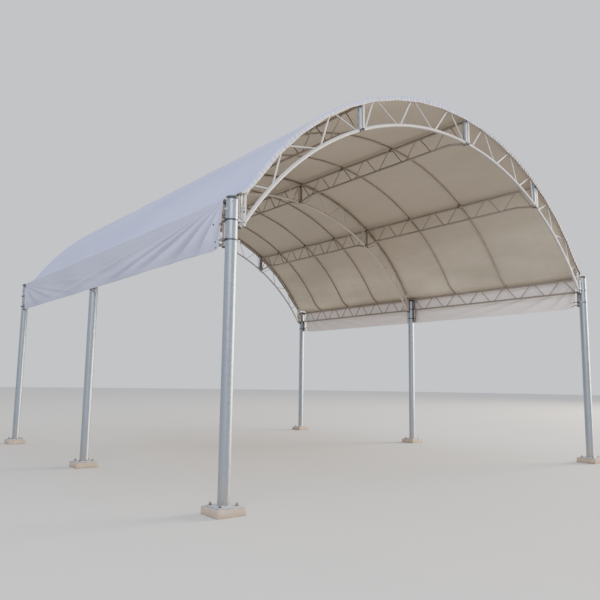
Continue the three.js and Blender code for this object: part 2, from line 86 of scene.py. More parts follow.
# Stub pipes beside the posts, of the arches and of the eave trusses
STUB_RADIUS, STUB_X, STUB_BOTTOM = 0.03015, 3.89965, 3.190
STUB_TOP = {"front": 3.590, "middle": 3.540, "back": 3.590}
STUB_BANDS, STUB_WEB_BOTTOM = (3.262, 3.470), 3.270
FACE_PLATE_HEIGHT, FACE_BOLTS = 3.335, ((3.260, PLATE), (3.385, DARK), (3.430, PLATE))
EAVE_STUB_RADIUS, EAVE_STUB_BOTTOM, EAVE_STUB_TOP = 0.03015, 2.955, 3.266
EAVE_STUB_OUT, EAVE_STUB_Y = 0.027, 0.09665

# Arches: both chords are arcs of a circle about x = 0
TOP_RADIUS, TOP_CENTRE = 4.480, 1.280
ARCH_END_X, BOTTOM_RISE, BOTTOM_CROWN = 3.829, 2.080, 5.350
BOTTOM_RADIUS = (ARCH_END_X ** 2 + BOTTOM_RISE ** 2) / (2 * BOTTOM_RISE)
CHORDS = {"top": (TOP_RADIUS, TOP_CENTRE), "bottom": (BOTTOM_RADIUS, BOTTOM_CROWN - BOTTOM_RADIUS)}
CHORD_RADIUS, UPRIGHT_RADIUS, UPRIGHT_BOTTOM = 0.02415, 0.01685, 3.225
ARCH_WEB_RADIUS, ARCH_WEB_SPREAD, WELD_FLARE = 0.010, 0.030, 0.30
SPLICE_CUT, SPLICE_WIDTH, SPLICE_DEPTH = 0.0123, 0.036, 0.048
HAUNCH_PANELS = (0.05, 0.25, 0.36, 0.665, 0.77, 1)
CROWN_PANELS = {
    "left": (0, 0.1, 0.325, 0.46, 0.665, 0.83, 1),
    "right": (0.03, 0.2, 0.37, 0.59, 0.72, 0.94, 1),
}

# Purlin and eave trusses, and ribs
LINE_RADIUS, LINE_WEB_RADIUS, LINE_WEB_SPREAD = 0.0212, 0.010, 0.045
PURLIN_DEPTH, EAVE_TOP, EAVE_BOTTOM = 0.300, 3.500, 3.240
RIB_RADIUS, RIB_DROP, LINE_DROP = 0.01685, 0.01715, 0.0561

# Roof line: an arc that flares out over the eave truss, then runs straight to the fold
ROOF_RADIUS = 4.50445
FLARE_START = 3.760
EAVE_SLOPE = math.radians(20)
CREST_X = POST_X + LINE_DROP * math.sin(EAVE_SLOPE)
CREST_Z = EAVE_TOP + LINE_DROP * math.cos(EAVE_SLOPE)
FOLD_X, FOLD_Z = 4.098, 3.492
ROOF_END_Y, HEM_END_X, NOTCH_X, NOTCH_Y = 4.434, 3.860, 3.905, 4.272
DRAWN_FROM, DRAWN_X = 3.850, 4.036
VALANCE_TOP_END, VALANCE_BOTTOM_END, VALANCE_BOTTOM = 4.280, 4.205, 2.930
VALANCE_SEAM, CLOTH_WIDTH = 3.400, 1.1
EYELETS = ((3.250, 0.095), (3.050, 0.075), (2.985, 0.040))
TIES = ((3.240, 0.110), (3.050, 0.122), (2.985, 0.108))

# Camera: where the photograph was taken from
CAMERA_PLACE = (-7.6052, -10.2882, 1.4412)
CAMERA_YAW, CAMERA_PITCH, CAMERA_ROLL = (math.radians(a) for a in (38.108, 7.553, 0.774))
CAMERA_LENS = 36.757


class CanopySizes(bpy.types.PropertyGroup):
    """Sizes of the canopy that can be changed"""

    roof_sag: FloatProperty(
        name="Roof sag", description="Depth of the roof membrane between two ribs",
        default=0.008, unit="LENGTH")
    fold_depth: FloatProperty(
        name="Fold depth", description="Depth of the folds in a valance",
        default=0.058, unit="LENGTH")
    hem_pucker: FloatProperty(
        name="Hem pucker", description="Depth of the gathers along a hem",
        default=0.0045, unit="LENGTH")
    hem_depth: FloatProperty(
        name="Hem depth", description="How far a hem is turned down over an outer arch",
        default=0.062, unit="LENGTH")
    cloth_thickness: FloatProperty(
        name="Cloth thickness", description="Thickness of the coated cloth",
        default=0.002, unit="LENGTH")
    pipe_sides: IntProperty(
        name="Pipe sides", description="Faces round a post", default=48, min=12, max=96)


class CanopyColours(bpy.types.PropertyGroup):
    """Colours of the canopy that can be changed"""

    # The membrane is white: the blue of its outer side is painted sky light.
    cloth_outside: FloatVectorProperty(
        name="Cloth outside", description="Weather side of the membrane",
        default=(0.455, 0.50, 0.80), subtype="COLOR")
    # The brown of the underside is painted shade on white cloth.
    cloth_inside: FloatVectorProperty(
        name="Cloth inside", description="Underside of the membrane",
        default=(0.385, 0.333, 0.262), subtype="COLOR")
    # The blue of the valance is painted sky light on white cloth.
    valance: FloatVectorProperty(
        name="Valance", description="Outer side of the valances",
        default=(0.52, 0.525, 0.73), subtype="COLOR")
    # The warm grey of the lining is painted shade on white cloth.
    lining: FloatVectorProperty(
        name="Lining", description="Inner side of the valances",
        default=(0.84, 0.77, 0.74), subtype="COLOR")
    hem: FloatVectorProperty(
        name="Hem", description="Gathered hem along the outer arches",
        default=(0.56, 0.52, 0.49), subtype="COLOR")
    post_steel: FloatVectorProperty(
        name="Post steel", description="Zinc coat of the posts",
        default=(0.30, 0.335, 0.38), subtype="COLOR")
    arch_steel: FloatVectorProperty(
        name="Arch steel", description="Pale coat of the outer arches",
        default=(0.56, 0.54, 0.53), subtype="COLOR")
    # The purlins, ribs, eave trusses, stubs and middle arch are the same galvanised steel as the outer
    # arches: this dark brown is painted shade.
    inner_steel: FloatVectorProperty(
        name="Inner steel", description="Dull coat of the purlins, ribs and eave trusses",
        default=(0.24, 0.21, 0.18), subtype="COLOR")
    dark_steel: FloatVectorProperty(
        name="Dark steel", description="Clamps, bolts and caps",
        default=(0.045, 0.045, 0.05), subtype="COLOR")
    concrete: FloatVectorProperty(
        name="Concrete", description="Foundation pads",
        default=(0.45, 0.34, 0.26), subtype="COLOR")


# Surfaces

def unit(vectors):
    """Each vector divided by its length."""
    vectors = np.asarray(vectors, float)
    return vectors / np.linalg.norm(vectors, axis=-1, keepdims=True)


def smooth_step(x, start, end):
    """3 t^2 - 2 t^3, with t going from 0 at start to 1 at end."""
    t = np.clip((np.asarray(x, float) - start) / (end - start), 0, 1)
    return t * t * (3 - 2 * t)


def circle(sides, radius=1.0):
    """radius times (cos a, sin a), for a from 0 to a full turn."""
    a = np.arange(sides) * 2 * np.pi / sides
    return radius * np.stack([np.cos(a), np.sin(a)], 1)


def rounded_rectangle(width, depth, corner, steps=3):
    """Four quarter circles about the corners of a rectangle inset by their radius."""
    inset = np.array([[1, 1], [-1, 1], [-1, -1], [1, -1]]) * [width / 2 - corner, depth / 2 - corner]
    a = np.arange(4)[:, None] * np.pi / 2 + np.linspace(0, np.pi / 2, steps + 1)
    points = inset[:, None] + corner * np.stack([np.cos(a), np.sin(a)], -1)
    return points.reshape(-1, 2)


def sweep(section, path, side, scale=1.0, direction=None, closed=False):
    """Section points (a, b) carried along a path: path + scale * (a * side + b * (along x side))."""
    path = np.asarray(path, float)
    if direction is not None:
        along = np.broadcast_to(np.asarray(direction, float), path.shape)
    elif closed:
        along = np.roll(path, -1, 0) - np.roll(path, 1, 0)
    else:
        along = np.gradient(path, axis=0)
    along = unit(along)
    first = np.broadcast_to(np.asarray(side, float), path.shape)
    first = unit(first - (first * along).sum(1, keepdims=True) * along)
    second = np.cross(along, first)
    scale = np.asarray(scale, float)
    scale = np.broadcast_to(scale[:, None] if scale.ndim == 1 else scale, (len(path), 2))
    a = section[None, :, 0] * scale[:, :1]
    b = section[None, :, 1] * scale[:, 1:]
    return path[:, None] + a[..., None] * first[:, None] + b[..., None] * second[:, None]


class Surface:
    """Grids of points gathered into one mesh, with its faces, UV places and material numbers."""

    def __init__(self):
        self.points, self.total = [], 0
        self.quads, self.caps = [], []

    def add(self, grid, slot=0, around=True, closed=False, flip=False):
        """A grid of rows and columns. around joins the last column to the first, and closed joins
        the last row to the first. The ends of a tube are closed with a fan of triangles.
        A corner's UV is its distance along the rows and the columns, in metres."""
        rows, columns = grid.shape[:2]
        index = self.total + np.arange(rows * columns).reshape(rows, columns)
        self.points.append(grid.reshape(-1, 3))
        self.total += rows * columns
        if around:
            index = np.concatenate([index, index[:, :1]], 1)
            grid = np.concatenate([grid, grid[:, :1]], 1)
        if closed:
            index = np.concatenate([index, index[:1]], 0)
            grid = np.concatenate([grid, grid[:1]], 0)
        shift = 0.618 * len(self.quads)
        u = shift + np.cumsum(np.r_[0, np.linalg.norm(np.diff(grid, axis=1), axis=2).mean(0)])
        v = shift + np.cumsum(np.r_[0, np.linalg.norm(np.diff(grid, axis=0), axis=2).mean(1)])
        uv = np.stack(np.meshgrid(u, v), -1)
        this, following = slice(None, -1), slice(1, None)
        corners = [(this, this), (this, following), (following, following), (following, this)]
        if flip:
            corners = corners[::-1]
        self.quads.append((np.stack([index[c] for c in corners], -1).reshape(-1, 4),
                           np.stack([uv[c] for c in corners], -2).reshape(-1, 2), slot))
        if around and not closed:
            for row, order in ((0, [1, 0]), (-1, [0, 1])):
                pair = np.stack([index[row, :-1], index[row, 1:]])[order]
                flat = np.stack([uv[row, :-1], uv[row, 1:]])[order]
                pole = np.full(columns, self.total)
                self.points.append(grid[row, :-1].mean(0)[None])
                self.total += 1
                middle = flat.mean(0) + [0, 0.02]
                self.caps.append((np.stack([pole, *pair], -1),
                                  np.stack([middle, *flat], 1).reshape(-1, 2), slot))

    def piece(self, name, materials, slot, replaces=(), sharp=35):
        """The mesh as an object that rides on the frame, in place of the CAD nodes it stands for."""
        parts = self.quads + self.caps
        faces = [face for corners, _, _ in parts for face in corners.tolist()]
        uvs = np.concatenate([uv for _, uv, _ in parts])
        slots = np.concatenate([np.full(len(corners), number) for corners, _, number in parts])
        mesh = bpy.data.meshes.new(name)
        mesh.from_pydata(np.concatenate(self.points), [], faces)
        layer = mesh.uv_layers.new(name="along_surface")
        layer.data.foreach_set("uv", uvs.astype(np.float32).ravel())
        mesh.polygons.foreach_set("material_index", slots.astype(np.int32))
        mesh.polygons.foreach_set("use_smooth", np.ones(len(faces), bool))
        for material in materials:
            mesh.materials.append(material)
        mesh.set_sharp_from_angle(angle=math.radians(sharp))
        mesh.update()
        piece = bpy.data.objects.new(name, mesh)
        bpy.context.scene.collection.objects.link(piece)
        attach(piece, "root")
        if replaces:
            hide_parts(*replaces)
        return piece


def turned(surface, base, axis, profile, slot, sides):
    """A profile of (distance along the axis, radius) turned about the axis."""
    profile = np.asarray(profile, float)
    axis = unit(axis)
    side = np.cross(axis, [0.0, 0.0, 1.0] if abs(axis[2]) < 0.9 else [0.0, 1.0, 0.0])
    path = np.asarray(base, float) + profile[:, :1] * axis
    surface.add(sweep(circle(sides), path, side, profile[:, 1], direction=axis), slot)


def rod(surface, start, end, radius, slot, sides, flare=0.0):
    """A straight round bar, whose ends widen by flare like a weld where they meet a chord."""
    start, end = np.asarray(start, float), np.asarray(end, float)
    length = np.linalg.norm(end - start)
    if flare:
        weld = [(0, 1 + flare), (0.029, 1 + flare), (0.035, 1 + 0.6 * flare), (0.044, 1.0)]
        shares = weld + [(length - d, s) for d, s in reversed(weld)]
    else:
        shares = [(0, 1.0), (length, 1.0)]
    turned(surface, start, end - start, [(d, radius * s) for d, s in shares], slot, sides)


def bent_pipe(surface, path, radius, side, slot, sides):
    """A round pipe carried along a path that lies square to side."""
    surface.add(sweep(circle(sides, radius), path, side), slot)


def block(surface, centre, size, edge, slot):
    """A block with rounded edges: its level section shrinks by the edge radius at both ends."""
    width, depth, height = size
    turns = np.linspace(0, np.pi / 2, 4)
    inset = edge * (1 - np.sin(turns))
    rise = edge * (1 - np.cos(turns))
    level = np.concatenate([-height / 2 + rise, height / 2 - rise[::-1]])
    inset = np.concatenate([inset, inset[::-1]])
    scale = np.stack([1 - 2 * inset / width, 1 - 2 * inset / depth], 1)
    path = np.asarray(centre, float) + level[:, None] * UP
    surface.add(sweep(rounded_rectangle(width, depth, edge), path, (1, 0, 0), scale, UP), slot)


def hexagon(surface, base, axis, across, height, slot):
    """A nut or bolt head with its corners taken off at both ends."""
    r = across / math.sqrt(3)
    profile = [(0, 0.92 * r), (0.12 * height, r), (0.85 * height, r), (height, 0.88 * r)]
    turned(surface, base, axis, profile, slot, 6)


def bolt(surface, base, axis, across, stem, slot):
    """A washer, a nut and the end of a threaded stem, one on another along the axis."""
    base, axis = np.asarray(base, float), unit(axis)
    washer, nut = 0.11 * across, 0.62 * across
    turned(surface, base, axis, [(0, 0.82 * across), (washer, 0.82 * across)], slot, 16)
    hexagon(surface, base + washer * axis, axis, across, nut, slot)
    turned(surface, base + (washer + nut) * axis, axis,
           [(0, 0.33 * across), (stem, 0.33 * across), (stem + 0.002, 0.26 * across)], slot, 10)


def band(surface, centre, radius, start, end, slot, height=0.020, thickness=0.006, steps=40):
    """A flat band bent round an upright pipe, between two angles in degrees."""
    a = np.radians(np.linspace(start, end, steps))
    path = np.asarray(centre) + (radius + thickness / 2) * np.stack([np.cos(a), np.sin(a), 0 * a], 1)
    surface.add(sweep(rounded_rectangle(height, thickness, 0.0018, 2), path, UP), slot)


# Places and lines of the frame

def post_places(rows=ROWS):
    """Each post's row, side, sign of its x, and y."""
    return [(row, side, sign, ROWS[row]) for row in rows for side, sign in SIDES.items()]


def roof_height(x):
    """centre + sqrt(radius^2 - x^2) up to the flare, a cubic from there to the crest that keeps
    the slope at both its ends, and a straight line on to the fold."""
    reach = np.abs(np.asarray(x, float))
    arc = TOP_CENTRE + np.sqrt(np.maximum(ROOF_RADIUS ** 2 - reach ** 2, 0))
    run = CREST_X - FLARE_START
    t = (reach - FLARE_START) / run
    start = TOP_CENTRE + math.sqrt(ROOF_RADIUS ** 2 - FLARE_START ** 2)
    start_slope = -FLARE_START / (start - TOP_CENTRE)
    flare = ((2 * t ** 3 - 3 * t ** 2 + 1) * start + (t ** 3 - 2 * t ** 2 + t) * run * start_slope
             + (3 * t ** 2 - 2 * t ** 3) * CREST_Z - (t ** 3 - t ** 2) * run * math.tan(EAVE_SLOPE))
    edge = CREST_Z + (reach - CREST_X) / (FOLD_X - CREST_X) * (FOLD_Z - CREST_Z)
    return np.where(reach <= FLARE_START, arc, np.where(reach < CREST_X, flare, edge))


def roof_line(x, outwards):
    """The roof line moved outwards along its normal, as x and z."""
    step = 0.0005
    slope = (roof_height(x + step) - roof_height(x - step)) / (2 * step)
    length = np.hypot(1, slope)
    return x - outwards * slope / length, roof_height(x) + outwards / length


def roof_positions(columns, reach):
    """x positions that lie evenly along the roof line, out to reach on both sides."""
    x = np.linspace(-reach, reach, 4001)
    along = np.cumsum(np.r_[0, np.hypot(np.diff(x), np.diff(roof_height(x)))])
    return np.interp(np.linspace(0, along[-1], columns), along, x), along[-1]


def chord_point(chord, x0, x1, share, y, shift=0.0):
    """The point of an arch chord at a share of the angle between two x positions."""
    radius, centre = CHORDS[chord]
    start, end = math.asin(x0 / radius), math.asin(x1 / radius)
    angle = start + (end - start) * np.asarray(share, float) + shift / radius
    return np.stack([radius * np.sin(angle), y + 0 * angle, centre + radius * np.cos(angle)], -1)


def arch_height(chord, x):
    """centre + sqrt(radius^2 - x^2) of a chord."""
    radius, centre = CHORDS[chord]
    return centre + math.sqrt(radius ** 2 - x ** 2)


def purlin_height(x):
    """The top chord of a purlin lies on a circle under the roof line."""
    return TOP_CENTRE + math.sqrt((ROOF_RADIUS - LINE_DROP) ** 2 - x ** 2)


# Materials

class Nodes:
    """A node material under construction."""

    def __init__(self, name):
        self.material = bpy.data.materials.get(name) or bpy.data.materials.new(name)
        self.material.use_nodes = True
        self.tree = self.material.node_tree
        self.tree.nodes.clear()
        self.shader = self.add("ShaderNodeBsdfPrincipled")
        self.add("ShaderNodeOutputMaterial", {"Surface": self.shader.outputs[0]})
        self.coords = self.add("ShaderNodeTexCoord")

    def add(self, kind, inputs=None, **settings):
        """A node with its settings and its inputs."""
        node = self.tree.nodes.new(kind)
        for key, value in settings.items():
            setattr(node, key, value)
        self.put(node, inputs or {})
        return node

    def put(self, node, inputs):
        """Links each input to the socket given for it, or sets its number or colour."""
        for key, value in inputs.items():
            socket = node.inputs[key]
            if isinstance(value, bpy.types.NodeSocket):
                self.tree.links.new(value, socket)
            elif value is not None:
                socket.default_value = (*value, 1) if socket.type == "RGBA" else value

    def place(self, source="Object", scale=(1, 1, 1)):
        """A point's place on the object or in its UV map, stretched by scale."""
        inputs = {"Vector": self.coords.outputs[source], "Scale": scale}
        return self.add("ShaderNodeMapping", inputs).outputs[0]

    def axis(self, which, source="Object"):
        """One number of a place."""
        return self.add("ShaderNodeSeparateXYZ", {0: self.coords.outputs[source]}).outputs[which]

    def noise(self, vector, scale, detail, roughness=0.5):
        """Cloudy noise from 0 to 1."""
        inputs = {"Vector": vector, "Scale": scale, "Detail": detail, "Roughness": roughness}
        return self.add("ShaderNodeTexNoise", inputs).outputs["Fac"]

    def cells(self, vector, scale):
        """Irregular cells, with a colour each and the distance from their middle."""
        return self.add("ShaderNodeTexVoronoi", {"Vector": vector, "Scale": scale})

    def bands(self, direction, scale, distortion):
        """Waves from 0 to 1 across the UV map."""
        inputs = {"Vector": self.place("UV"), "Scale": scale, "Distortion": distortion, "Detail": 1.0}
        return self.add("ShaderNodeTexWave", inputs, bands_direction=direction).outputs["Fac"]

    def fit(self, value, low, high, start=0.0, end=1.0):
        """value from start..end carried to low..high."""
        inputs = {"Value": value, "From Min": start, "From Max": end, "To Min": low, "To Max": high}
        return self.add("ShaderNodeMapRange", inputs).outputs[0]

    def math(self, operation, *values):
        """A sum, product or the like of one or two values."""
        return self.add("ShaderNodeMath", dict(enumerate(values)), operation=operation).outputs[0]

    def mix(self, factor, a, b):
        """A colour between two: the node's sockets 6 and 7 go in, and 2 comes out."""
        return self.add("ShaderNodeMix", {0: factor, 6: a, 7: b}, data_type="RGBA").outputs[2]

    def bump(self, height, strength, distance, normal=None):
        """The normal tilted by a height."""
        inputs = {"Height": height, "Strength": strength, "Distance": distance, "Normal": normal}
        return self.add("ShaderNodeBump", inputs).outputs[0]

    def finish(self, colour, roughness, normal, metallic=0.0, specular=0.5):
        """The material, once its shader has its inputs."""
        self.put(self.shader, {"Base Color": colour, "Roughness": roughness, "Normal": normal,
                               "Metallic": metallic, "Specular IOR Level": specular})
        return self.material


def tint(colour, factor):
    """The colour made lighter or darker by a factor."""
    return tuple(min(1.0, c * factor) for c in colour)


def steel(name, colour, metallic, gloss, spangle, foot=False, under=0.0):
    """Galvanised steel: zinc spangle in small cells, soft streaks along the pipe and dull patches.
    A foot is splashed with soil, and under is how much painted shade darkens the faces that look down."""
    n = Nodes(name)
    place = n.place()
    along = n.place("UV", (18, 1.2, 1))
    crystals = n.add("ShaderNodeSeparateColor", {0: n.cells(place, 55).outputs["Color"]}).outputs[0]
    streaks = n.noise(along, 2.0, 4, 0.6)
    patches = n.noise(place, 2.3, 3)
    tone = n.math("ADD", n.math("MULTIPLY", crystals, 0.35), n.math("MULTIPLY", streaks, 0.65))
    colours = n.mix(tone, tint(colour, 1 - spangle), tint(colour, 1 + spangle))
    colours = n.mix(n.fit(patches, 0, 0.30, 0.45, 0.75), colours, tint(colour, 0.80))
    if under:
        # painted shade: the faces that look down are darkened
        painted_underside_shade = n.fit(n.axis("Z", "Normal"), under, 0, -0.75, 0.05)
        colours = n.mix(painted_underside_shade, colours, tint(colour, 0.30))
    if foot:
        splash = n.math("MULTIPLY", n.fit(n.axis("Z"), 0.75, 0, 0.10, 0.50),
                        n.fit(n.noise(place, 14, 4, 0.65), 0.2, 1, 0.3, 0.7))
        colours = n.mix(splash, colours, (0.42, 0.35, 0.28))
    roughness = n.fit(n.math("ADD", crystals, patches), gloss - 0.08, gloss + 0.14, 0.2, 1.5)
    normal = n.bump(n.noise(along, 9, 2), 0.10, 0.001, n.bump(crystals, 0.06, 0.001))
    return n.finish(colours, roughness, normal, metallic)


def dark_metal(name, colour):
    """Dark clamps and caps: fine grain, with rubbed lighter patches."""
    n = Nodes(name)
    grain = n.noise(n.place(), 160, 3, 0.6)
    rub = n.fit(n.noise(n.place(), 21, 4, 0.6), 0, 0.5, 0.52, 0.75)
    colours = n.mix(rub, n.mix(grain, tint(colour, 0.7), tint(colour, 1.5)), (0.22, 0.20, 0.18))
    return n.finish(colours, n.fit(grain, 0.40, 0.62), n.bump(grain, 0.12, 0.001), 0.35)


def cloth(name, colour, soil, seams=True, painted_low_light=None, painted_fold_shade=False):
    """Coated cloth: a fine plain weave, soft soiling in drifts, and welded seams across the span.
    A cloth given a low-light colour is painted lighter low down, towards the eaves, than under the
    crown: painted light. A cloth with fold shade is darker where its hollow attribute says that it
    lies back: painted shade in the folds."""
    n = Nodes(name)
    drifts = n.noise(n.place("Object", (0.6, 0.22, 0.9)), 1.6, 4, 0.55)
    specks = n.noise(n.place(), 38, 4, 0.6)
    fresh = tint(colour, 1.05)
    if painted_low_light:
        # painted light: the cloth is lighter low down, towards the eaves, than under the crown
        low = n.fit(n.math("ADD", n.axis("Z"), n.fit(drifts, -0.5, 0.5)), 1, 0, 3.4, 5.0)
        fresh = n.mix(low, fresh, painted_low_light)
    colours = n.mix(n.fit(drifts, 0, 0.8, 0.35, 0.70), fresh, soil)
    colours = n.mix(n.fit(specks, 0, 0.16, 0.55, 0.80), colours, tint(soil, 0.85))
    weave = n.math("MULTIPLY", n.bands("X", 160.0, 0.4), n.bands("Y", 160.0, 0.4))
    wrinkles = n.noise(n.place("Object", (1, 0.55, 1.3)), 3.1, 4, 0.5)
    normal = n.bump(wrinkles, 0.16, 0.02, n.bump(weave, 0.05, 0.0006))
    if seams:
        widths = n.math("DIVIDE", n.math("ADD", n.axis("Y"), -ROWS["front"]), CLOTH_WIDTH)
        seam = n.math("ABSOLUTE", n.math("SUBTRACT", n.math("FRACT", widths), 0.5))
        weld = n.fit(seam, 1, 0, 0.010, 0.018)
        colours = n.mix(n.math("MULTIPLY", weld, 0.20), colours, tint(colour, 0.90))
        normal = n.bump(weld, 0.20, 0.001, normal)
    if painted_fold_shade:
        # painted shade in the hollows of the folds
        hollow = n.add("ShaderNodeAttribute", attribute_name="hollow").outputs["Fac"]
        colours = n.mix(hollow, colours, tint(colour, 0.70))
    return n.finish(colours, n.fit(drifts, 0.46, 0.62), normal, specular=0.35)


def gathered_cloth(name, colour, edge):
    """The roof's cloth where it is gathered over an arch: fine strokes across it, with a painted
    highlight on their crests and painted shade in their hollows, and a paler edge, told by the
    distance from the roof in its UV. It has soft soil patches, and right of the crown it is
    darkened brown: painted shade."""
    n = Nodes(name)
    strokes = n.noise(n.place("UV", (46, 5, 1)), 1.0, 3, 0.6)
    soil = n.noise(n.place(), 4.5, 4, 0.6)
    across = n.axis("Y", "UV")
    # painted highlight on the crests of the strokes
    painted_crest_highlight = n.math("MULTIPLY", n.fit(strokes, 0, 1, 0.48, 0.60), n.fit(across, 0, 0.9, 0.060, 0.100))
    low = n.math("MAXIMUM", painted_crest_highlight, n.fit(across, 0, 1, 0.122, 0.134))
    colours = n.mix(low, tint(colour, 1.0), tint(edge, 1.25))
    # painted shade in the hollows of the strokes
    hollow = n.math("MULTIPLY", n.fit(strokes, 0.55, 0, 0.30, 0.46), n.fit(across, 0, 1, 0.060, 0.095))
    colours = n.mix(hollow, colours, tint(edge, 0.50))
    colours = n.mix(n.fit(soil, 0, 0.30, 0.48, 0.75), colours, tint(edge, 0.62))
    # painted shade: right of the crown the hem is darkened brown
    painted_right_shade = n.math("ADD", n.axis("X"), n.fit(soil, -0.5, 0.5))
    colours = n.mix(n.fit(painted_right_shade, 0, 0.85, 0.1, 2.3), colours, (0.17, 0.145, 0.12))
    grain = n.noise(n.place("UV", (300, 300, 1)), 1.0, 2)
    normal = n.bump(grain, 0.05, 0.0006, n.bump(strokes, 0.55, 0.006))
    return n.finish(colours, n.fit(soil, 0.48, 0.62), normal, specular=0.35)


def cast_concrete(name, colour):
    """Cast concrete: sandy speckle, pale lime bloom, dark pits, and damp soil at the foot."""
    n = Nodes(name)
    place = n.place()
    sand = n.noise(place, 240, 3, 0.7)
    bloom = n.noise(place, 9, 4, 0.6)
    colours = n.mix(sand, tint(colour, 0.78), tint(colour, 1.25))
    colours = n.mix(n.fit(bloom, 0, 0.55, 0.5, 0.75), colours, (0.72, 0.66, 0.58))
    pits = n.math("MULTIPLY", n.fit(n.cells(place, 46).outputs["Distance"], 1, 0, 0.10, 0.22),
                  n.fit(n.noise(place, 30, 2), 0, 1, 0.52, 0.60))
    colours = n.mix(pits, colours, (0.16, 0.12, 0.09))
    damp = n.math("MULTIPLY", n.fit(n.axis("Z"), 0.85, 0, 0.0, 0.05),
                  n.fit(n.noise(place, 22, 4, 0.6), 0.3, 1, 0.35, 0.6))
    colours = n.mix(damp, colours, (0.24, 0.18, 0.12))
    normal = n.bump(pits, -0.6, 0.003, n.bump(sand, 0.35, 0.002))
    return n.finish(colours, n.fit(sand, 0.82, 0.97), normal)


def pale_floor(name):
    """Plain pale floor with the faintest mottling."""
    n = Nodes(name)
    tone = n.noise(n.place(), 0.7, 3)
    colours = n.mix(tone, (0.60, 0.585, 0.56), (0.64, 0.625, 0.60))
    return n.finish(colours, n.fit(tone, 0.85, 0.95), n.bump(tone, 0.02, 0.01))


def rope_fibre(name):
    """Worn twisted rope: strands that run slantwise round it."""
    n = Nodes(name)
    strands = n.bands("DIAGONAL", 70.0, 0.6)
    colours = n.mix(strands, (0.07, 0.06, 0.05), (0.26, 0.23, 0.18))
    return n.finish(colours, n.fit(strands, 0.75, 0.9), n.bump(strands, 0.4, 0.001))


def finishes():
    """Every material of the canopy by name, in the colours that are set now."""
    c = bpy.context.scene.canopy_colours
    return {
        "post": steel("post_zinc", c.post_steel, 0.85, 0.34, 0.12, foot=True),
        "plate": steel("plate_zinc", tint(c.post_steel, 1.55), 0.25, 0.55, 0.10),
        "arch": steel("arch_zinc", c.arch_steel, 0.25, 0.45, 0.06, under=0.6),
        "splice": steel("splice_zinc", tint(c.post_steel, 1.15), 0.45, 0.42, 0.10, under=0.5),
        # stub, inner, dull and rib are darker, browner copies of the one galvanised steel: painted shade
        "stub": steel("shaded_stub_zinc", tint(c.inner_steel, 1.15), 0.80, 0.32, 0.26),
        "inner": steel("shaded_inner_zinc", tint(c.inner_steel, 1.12), 0.30, 0.50, 0.14),
        "dull": steel("shaded_middle_zinc", tint(c.inner_steel, 2.05), 0.20, 0.60, 0.14),
        "rib": steel("shaded_rib_zinc", tint(c.inner_steel, 1.40), 0.30, 0.55, 0.14),
        "dark": dark_metal("dark_metal", c.dark_steel),
        "outside": cloth("cloth_outside", c.cloth_outside, tint(c.cloth_outside, 0.86)),
        # its low-light colour paints the underside lighter towards the eaves: painted light
        "inside": cloth("cloth_inside", c.cloth_inside, tint(c.cloth_inside, 0.92),
                        painted_low_light=tint(c.cloth_inside, 1.65)),
        "hem": gathered_cloth("cloth_hem", c.cloth_outside, c.hem),
        # fold shade: painted shade in the hollows of the valance's folds
        "valance": cloth("cloth_valance", c.valance, tint(c.valance, 0.88), seams=False, painted_fold_shade=True),
        "lining": cloth("cloth_lining", c.lining, tint(c.lining, 0.88), seams=False),
        "concrete": cast_concrete("cast_concrete", c.concrete),
        "rope": rope_fibre("rope_fibre"),
    }


# Pieces, each group with its operator

def cast_pad(x, y):
    """A rounded square section goes up the sides and shrinks to nothing over the top. Each
    point of it is drawn in a little by a sum of sine waves of its place."""
    edge, steps = 0.006, 26
    section = rounded_rectangle(PAD_SIDE, PAD_SIDE, 0.008, 4)
    section = np.stack([np.interp(np.linspace(0, len(section), 160, endpoint=False),
                                  np.arange(len(section) + 1), np.r_[section[:, k], section[0, k]])
                        for k in (0, 1)], 1)
    turns = np.linspace(0, np.pi / 2, 5)
    up = np.concatenate([np.linspace(0, PAD_HEIGHT - edge, 10),
                         PAD_HEIGHT - edge + edge * np.sin(turns[1:]), np.full(steps, PAD_HEIGHT)])
    inset = np.concatenate([np.zeros(10), edge * (1 - np.cos(turns[1:])),
                            np.linspace(edge, 0.97 * PAD_SIDE / 2, steps + 1)[1:]])
    path = np.stack([np.full(len(up), x), np.full(len(up), y), up], 1)
    grid = sweep(section, path, (1, 0, 0), 1 - 2 * inset / PAD_SIDE, direction=UP)
    px, py, pz = np.moveaxis(grid, -1, 0)
    rough = (np.sin(61 * px + 17 * py + 23 * pz) + np.sin(37 * py - 29 * px + 51 * pz + 1.7)
             + 0.7 * np.sin(133 * px + 2.1 * y) + 0.7 * np.sin(127 * py + 90 * pz + x)
             + 0.5 * np.sin(260 * (px - py) + 170 * pz)) / 3.9
    draw = 0.0022 * (rough - 1) * smooth_step(pz, 0.004, 0.03)
    grid[..., :2] += draw[..., None] * unit(grid[..., :2] - [x, y] + 1e-9)
    grid[..., 2] += np.where(pz > PAD_HEIGHT - 0.002, 0.0012 * (rough - 1), 0)
    return grid


class CANOPY_OT_pads(bpy.types.Operator):
    """Six cast pads with worn edges"""

    bl_idname = "canopy.pads"
    bl_label = "Concrete pads"

    def execute(self, context):
        concrete = finishes()["concrete"]
        for row, side, sign, y in post_places():
            surface = Surface()
            surface.add(cast_pad(sign * POST_X, y))
            surface.piece(f"concrete_pad_{row}_{side}", [concrete], "concrete", [f"pad_{row}_{side}"], 60)
        return {"FINISHED"}


